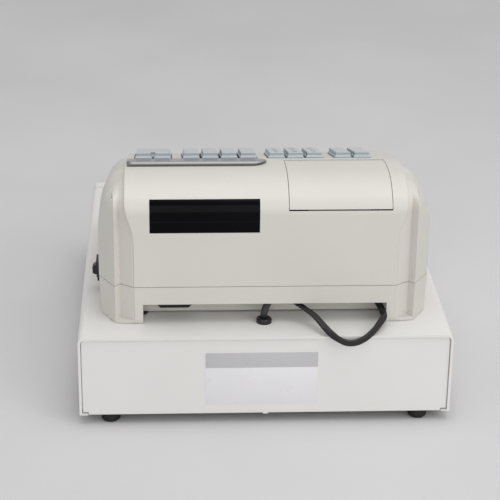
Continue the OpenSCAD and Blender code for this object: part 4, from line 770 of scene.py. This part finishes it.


# The faint line on the customer window is a painted highlight along its bend
HIGHLIGHT_AT, HIGHLIGHT_HALF = 0.1930, 0.0005
# The lens's nearly black low faces are painted shade, and its pale top is a painted reflection
PAINTED_SHADE_LOW, LENS_FOOT, PAINTED_REFLECTION_TOP = (0.2283, 0.2269), (0.2265, 0.2261), (0.2281, 0.2291)
window = finish("window_acrylic", tone(10, 9, 12), tone(7, 7, 9), tone(30, 30, 33), cloud=15.0,
                scale=300.0, smooth=0.07, rough=0.12, bump=0.04, depth=0.00003, radius=0.0003,
                rubbing=0.3, Specular_IOR_Level=0.06)
tree = window.node_tree
# A thin band over the height: the painted highlight across the window
line = add(tree, "ShaderNodeMath", operation="MULTIPLY")
for n, edge in enumerate((HIGHLIGHT_AT - HIGHLIGHT_HALF, HIGHLIGHT_AT + HIGHLIGHT_HALF)):
    tree.links.new(over_height(tree, edge, HIGHLIGHT_AT), line.inputs[n])
repaint(window, line.outputs[0], tone(24, 25, 27))
wear(window, "customer_window")
lens = finish("lens_acrylic", tone(104, 99, 101), tone(98, 93, 95), tone(150, 148, 149),
              cloud=15.0, scale=400.0, smooth=0.12, rough=0.2, bump=0.05, depth=0.00004,
              radius=0.0006, rubbing=0.3, dusty=0.03, Coat_Weight=0.3)
# Painted shade low on the faces, a lighter foot, and a painted reflection along the top
for heights, colour in ((PAINTED_SHADE_LOW, tone(62, 57, 59)), (LENS_FOOT, tone(112, 108, 109)),
                        (PAINTED_REFLECTION_TOP, tone(186, 184, 185))):
    repaint(lens, over_height(lens.node_tree, *heights), colour)
wear(lens, "operator_lens")

# %% [markdown]
# ## Keys
# The keycaps are clear over a cool grey body, and pale seen from above. Their steep flanks get
# painted shade, a darker tone, which draws the fine dark lines between the rows of keys. So the
# recipe gets a second tone for whatever stands steep.

# %% Key plastic
KEYS = [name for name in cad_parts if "key" in name and name != "key_frame"]
# The flank tone is painted shade on the steep sides of the keys
keycap = finish("keycap_plastic", tone(190, 195, 198), tone(184, 189, 193), tone(208, 212, 215),
                cloud=30.0, scale=2200.0, smooth=0.28, rough=0.38, bump=0.15, depth=0.00005,
                radius=0.0004, rubbing=0.3, dusty=0.04, flank_shade=tone(150, 160, 168))
wear(keycap, *KEYS)

# %% Boards, coil, supply and paper
board = finish("circuit_board", tone(34, 96, 66), tone(26, 82, 56), tone(70, 130, 96), cloud=120.0,
               scale=700.0, smooth=0.22, rough=0.4, bump=0.2, depth=0.00006, radius=0.0003,
               dusty=0.15)
wear(board, "main_board", "display_modules")
coil = finish("coil_winding", tone(188, 120, 74), tone(150, 92, 56), tone(214, 160, 116),
              cloud=60.0, smooth=0.25, rough=0.42, bump=0.5, depth=0.0002, radius=0.0003,
              texture=lines, across=(40.0, 1600.0, 40.0), Metallic=0.7)
wear(coil, "solenoid")
supply = finish("laminated_core", tone(96, 99, 104), tone(78, 81, 86), tone(128, 131, 135),
                cloud=40.0, smooth=0.34, rough=0.5, bump=0.4, depth=0.0002, radius=0.0004,
                texture=lines, across=(30.0, 30.0, 1500.0), Metallic=0.6)
wear(supply, "power_supply")
paper = finish("receipt_paper", tone(240, 239, 234), tone(234, 233, 228), cloud=30.0, smooth=0.6,
               rough=0.72, bump=0.25, depth=0.00008, radius=0.0003, texture=lines,
               across=(30.0, 1800.0, 1800.0))
wear(paper, "paper_roll")

# %% [markdown]
# ## The blank rating plate
# A thin vinyl label sits on the drawer's rear panel: white, with a grey band along its top. It
# carries no print here. The band is a mask on the height above the counter, so the label stays
# one clean plate with softly rounded corners.

# %% Blank plate
PLATE_LOW, PLATE_HIGH = (-0.0485, 0.20185, 0.0196), (0.0566, 0.20215, 0.0733)
BAND = (0.0578, 0.0580)  # the height at which the grey band begins
plate = bmesh.new()
rounded_block(plate, PLATE_LOW, PLATE_HIGH, 0.00012, 2)
blank_plate = piece(plate, "blank_plate", "base")
vinyl, tree, shader = begin("vinyl_label")
in_band = over_height(tree, *BAND)
film = placed(tree, clouded, Light=tone(231, 230, 233), Dark=tone(228, 227, 230), Scale=30.0)
colour = blend_colours(tree, in_band, film.outputs["Color"], tone(188, 187, 189))
tree.links.new(colour, shader.inputs["Base Color"])
skin = placed(tree, grain, Scale=900.0, Smooth=0.26, Rough=0.36)
tree.links.new(skin.outputs["Roughness"], shader.inputs["Roughness"])
relief = add(tree, "ShaderNodeBump")
relief.inputs["Strength"].default_value = 0.1
relief.inputs["Distance"].default_value = 0.00005
tree.links.new(skin.outputs["Height"], relief.inputs["Height"])
tree.links.new(relief.outputs["Normal"], shader.inputs["Normal"])
wear(vinyl, "blank_plate")

# %% [markdown]
# ## The hem behind the rear panel
# Between the rear panel and the rim of the case runs a narrow groove. The rim is folded over behind
# it, so the groove is shallow and pale and not a black slit. This ring is that fold: a sheet with
# a window in it, set back almost two millimetres behind the panel's face.

# %% Folded hem
PANEL_Y, PANEL_LOW, PANEL_TOP, PANEL_HALF = 0.2019, 0.0128, 0.0873, 0.1723
HEM_BACK, HEM_RIM, HEM_T, HEM_CORNER = 0.0019, 0.0016, 0.0006, 0.003
hem = bmesh.new()
flat_ring(hem, 2 * PANEL_HALF, PANEL_TOP - PANEL_LOW, HEM_RIM, HEM_T, HEM_CORNER)
bmesh.ops.rotate(hem, matrix=Matrix.Rotation(math.pi / 2, 3, "X"), verts=hem.verts)
bmesh.ops.translate(hem, vec=(0, PANEL_Y - HEM_BACK, (PANEL_LOW + PANEL_TOP) / 2), verts=hem.verts)
wear(powder, piece(hem, "folded_hem", "base").name)

# %% [markdown]
# ## Bezel and cap of the power switch
# The switch in the side wall has a raised bezel, and its rocker stands well out of it, as one can
# see past the shell's edge. Bezel and cap lie over the frame's plainer ones: the cap rides on the
# rocker and tilts with it. Both are made in the switch's own axes, +X out of the wall, and one
# matrix puts them on the leaning side wall.

# %% Power switch
LEAN = math.atan(2 / 38)
BEZEL_TALL, BEZEL_WIDE, BEZEL_RIM, BEZEL_DEEP = 0.0212, 0.0186, 0.0011, 0.0046
BEZEL_OUT = 0.0048  # how far the bezel stands out of the wall
CAP, CAP_OUT, TIP_DROP = (0.0062, 0.0104, 0.0130), 0.0062, 0.0009
at_switch = Matrix.Translation((0.155232, 0.0931, 0.1134)) @ Matrix.Rotation(LEAN, 4, "Y")
bezel = bmesh.new()
flat_ring(bezel, BEZEL_TALL, BEZEL_WIDE, BEZEL_RIM, BEZEL_DEEP, 0.0014)
bmesh.ops.rotate(bezel, matrix=Matrix.Rotation(math.pi / 2, 3, "Y"), verts=bezel.verts)
outwards = Matrix.Translation((BEZEL_OUT - max(v.co.x for v in bezel.verts), 0, 0))
bmesh.ops.transform(bezel, matrix=at_switch @ outwards, verts=bezel.verts)
wear(black, piece(bezel, "switch_bezel", "base").name)
cap = bmesh.new()
corners = bmesh.ops.create_cube(cap, size=1.0)["verts"]
bmesh.ops.scale(cap, vec=CAP, verts=corners)
tip = [v for v in corners if v.co.x > 0]
bmesh.ops.scale(cap, vec=(1, 0.92, 0.50), verts=tip)
bmesh.ops.translate(cap, vec=(0, 0, -TIP_DROP), verts=tip)
bmesh.ops.bevel(cap, geom=cap.edges[:], offset=0.0007, segments=3, profile=0.5, affect="EDGES",
                material=-1)
bmesh.ops.transform(cap, matrix=at_switch @ Matrix.Translation((CAP_OUT, 0, 0)), verts=cap.verts)
wear(rocker, piece(cap, "rocker_cap", "rocker").name)

# %% [markdown]
# ## The inlet's contact blades
# Three nickel-plated blades stand in the mains inlet. Each is a small block with rounded edges
# over the plain one of the frame.

# %% Contact blades
nickel = finish("nickel_plate", tone(198, 196, 190), tone(184, 182, 176), tone(220, 219, 214),
                cloud=90.0, smooth=0.18, rough=0.3, bump=0.1, depth=0.00003, radius=0.0003,
                texture=lines, across=(1500.0, 60.0, 1500.0), Metallic=1.0)
INLET = Vector((0.085, 0.1471, 0.109))
BLADE_FROM, BLADE_TO = Vector((-0.0011, -0.015, -0.0021)), Vector((0.0011, 0.0009, 0.0021))
blades = bmesh.new()
for x, z in ((-0.007, 0.0015), (0.0, -0.0025), (0.007, 0.0015)):
    middle = INLET + Vector((x, 0, z))
    rounded_block(blades, middle + BLADE_FROM, middle + BLADE_TO, 0.0005)
wear(nickel, piece(blades, "inlet_blades", "base").name)

# %% [markdown]
# ## Foot screws
# Each rubber foot is held by a screw in its hollow. The head starts as a short cone, its lower rim
# is rounded, and an inset presses a recess into it. Every head is made at the origin, where it is
# easy to find, and then moved to its foot.

# %% Foot screws
FOOT_MIDDLE, HEAD_R, HEAD_T, HEAD_AT = 0.009, 0.0032, 0.0016, 0.0032
screws = bmesh.new()
feet_low, feet_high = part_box("drawer_feet")
for x in (feet_low.x + FOOT_MIDDLE, feet_high.x - FOOT_MIDDLE):
    for y in (feet_low.y + FOOT_MIDDLE, feet_high.y - FOOT_MIDDLE):
        head = bmesh.ops.create_cone(screws, cap_ends=True, segments=24, radius1=0.0026,
                                     radius2=HEAD_R, depth=HEAD_T)
        rim = [e for v in head["verts"] for e in v.link_edges if e.verts[0].co.z < 0
               and e.verts[1].co.z < 0]
        bmesh.ops.bevel(screws, geom=list(set(rim)), offset=0.0005, segments=3, profile=0.5,
                        affect="EDGES", material=-1)
        bottom = [f for f in screws.faces
                  if f.normal.z < -0.99 and f.calc_center_median().length < 0.002]
        bmesh.ops.inset_region(screws, faces=bottom, thickness=0.0011, depth=-0.0006)
        whole = [v for v in screws.verts if abs(v.co.x) < 0.004 and abs(v.co.y) < 0.004]
        bmesh.ops.translate(screws, vec=(x, y, HEAD_AT), verts=whole)
wear(zinc, piece(screws, "foot_screws", "base").name)

# %% [markdown]
# ## Legends of the number keys
# The number keys carry plain digits, printed dark on the cap. Text is a curve with its own
# place; it is turned into a mesh first, and the mesh is then laid on the key's top. The deck's
# slope is known, so one matrix carries all digits from the key plane to the register.

# %% Where the keys are
SLOPE = math.atan(7 / 24)
deck = Matrix.Translation((0.0, 0.0611, 0.2148)) @ Matrix.Rotation(SLOPE, 4, "X")
KEY_TOP = 0.0055


def on_key(name):
    """The middle of a single key's top, on the deck, found from the key's own box."""
    low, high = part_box(name)
    middle = deck.inverted() @ ((low + high) / 2)
    return Vector(((low.x + high.x) / 2, middle.y, KEY_TOP))


print("top of key 5 at", [round(v, 4) for v in deck @ on_key("key_5")])

# %% Digits
DIGIT, INK_T = 0.0085, 0.00005
ink = finish("legend_ink", tone(44, 47, 54), tone(38, 41, 48), cloud=60.0, smooth=0.4, rough=0.5,
             bump=0.1, depth=0.00003, radius=0.0001)
digits = {"key_%d" % n: str(n) for n in range(10)}
digits.update(key_00="00", key_point=".")
for name, label in digits.items():
    text = bpy.data.curves.new(name + "_text", "FONT")
    text.body, text.size, text.extrude = label, DIGIT, INK_T
    text.align_x, text.align_y = "CENTER", "CENTER"
    holder = bpy.data.objects.new(name + "_text", text)
    drawn_text = bpy.data.meshes.new_from_object(holder)
    bpy.data.objects.remove(holder)
    sign = bmesh.new()
    sign.from_mesh(drawn_text)
    bmesh.ops.transform(sign, matrix=deck @ Matrix.Translation(on_key(name)), verts=sign.verts)
    wear(ink, piece(sign, name + "_legend", name + "_body").name)

# %% [markdown]
# ## The floor
# A wide pale cloth. The weave is far finer than a pixel from here, so a fine bump is enough; the
# slow mottling of its tone is a second, wide noise.

# %% Floor
ground = bmesh.new()
bmesh.ops.create_grid(ground, x_segments=1, y_segments=1, size=9.0)
floor_mesh = bpy.data.meshes.new("floor")
ground.to_mesh(floor_mesh)
ground.free()
floor = bpy.data.objects.new("floor", floor_mesh)
bpy.context.scene.collection.objects.link(floor)
cloth = finish("floor_cloth", tone(213, 212, 213), tone(207, 206, 207), cloud=3.0, scale=700.0,
               smooth=0.85, rough=0.95, bump=0.3, depth=0.0003, radius=0.0001,
               Specular_IOR_Level=0.2)
wear(cloth, "floor")

# %% Finish
print("done")
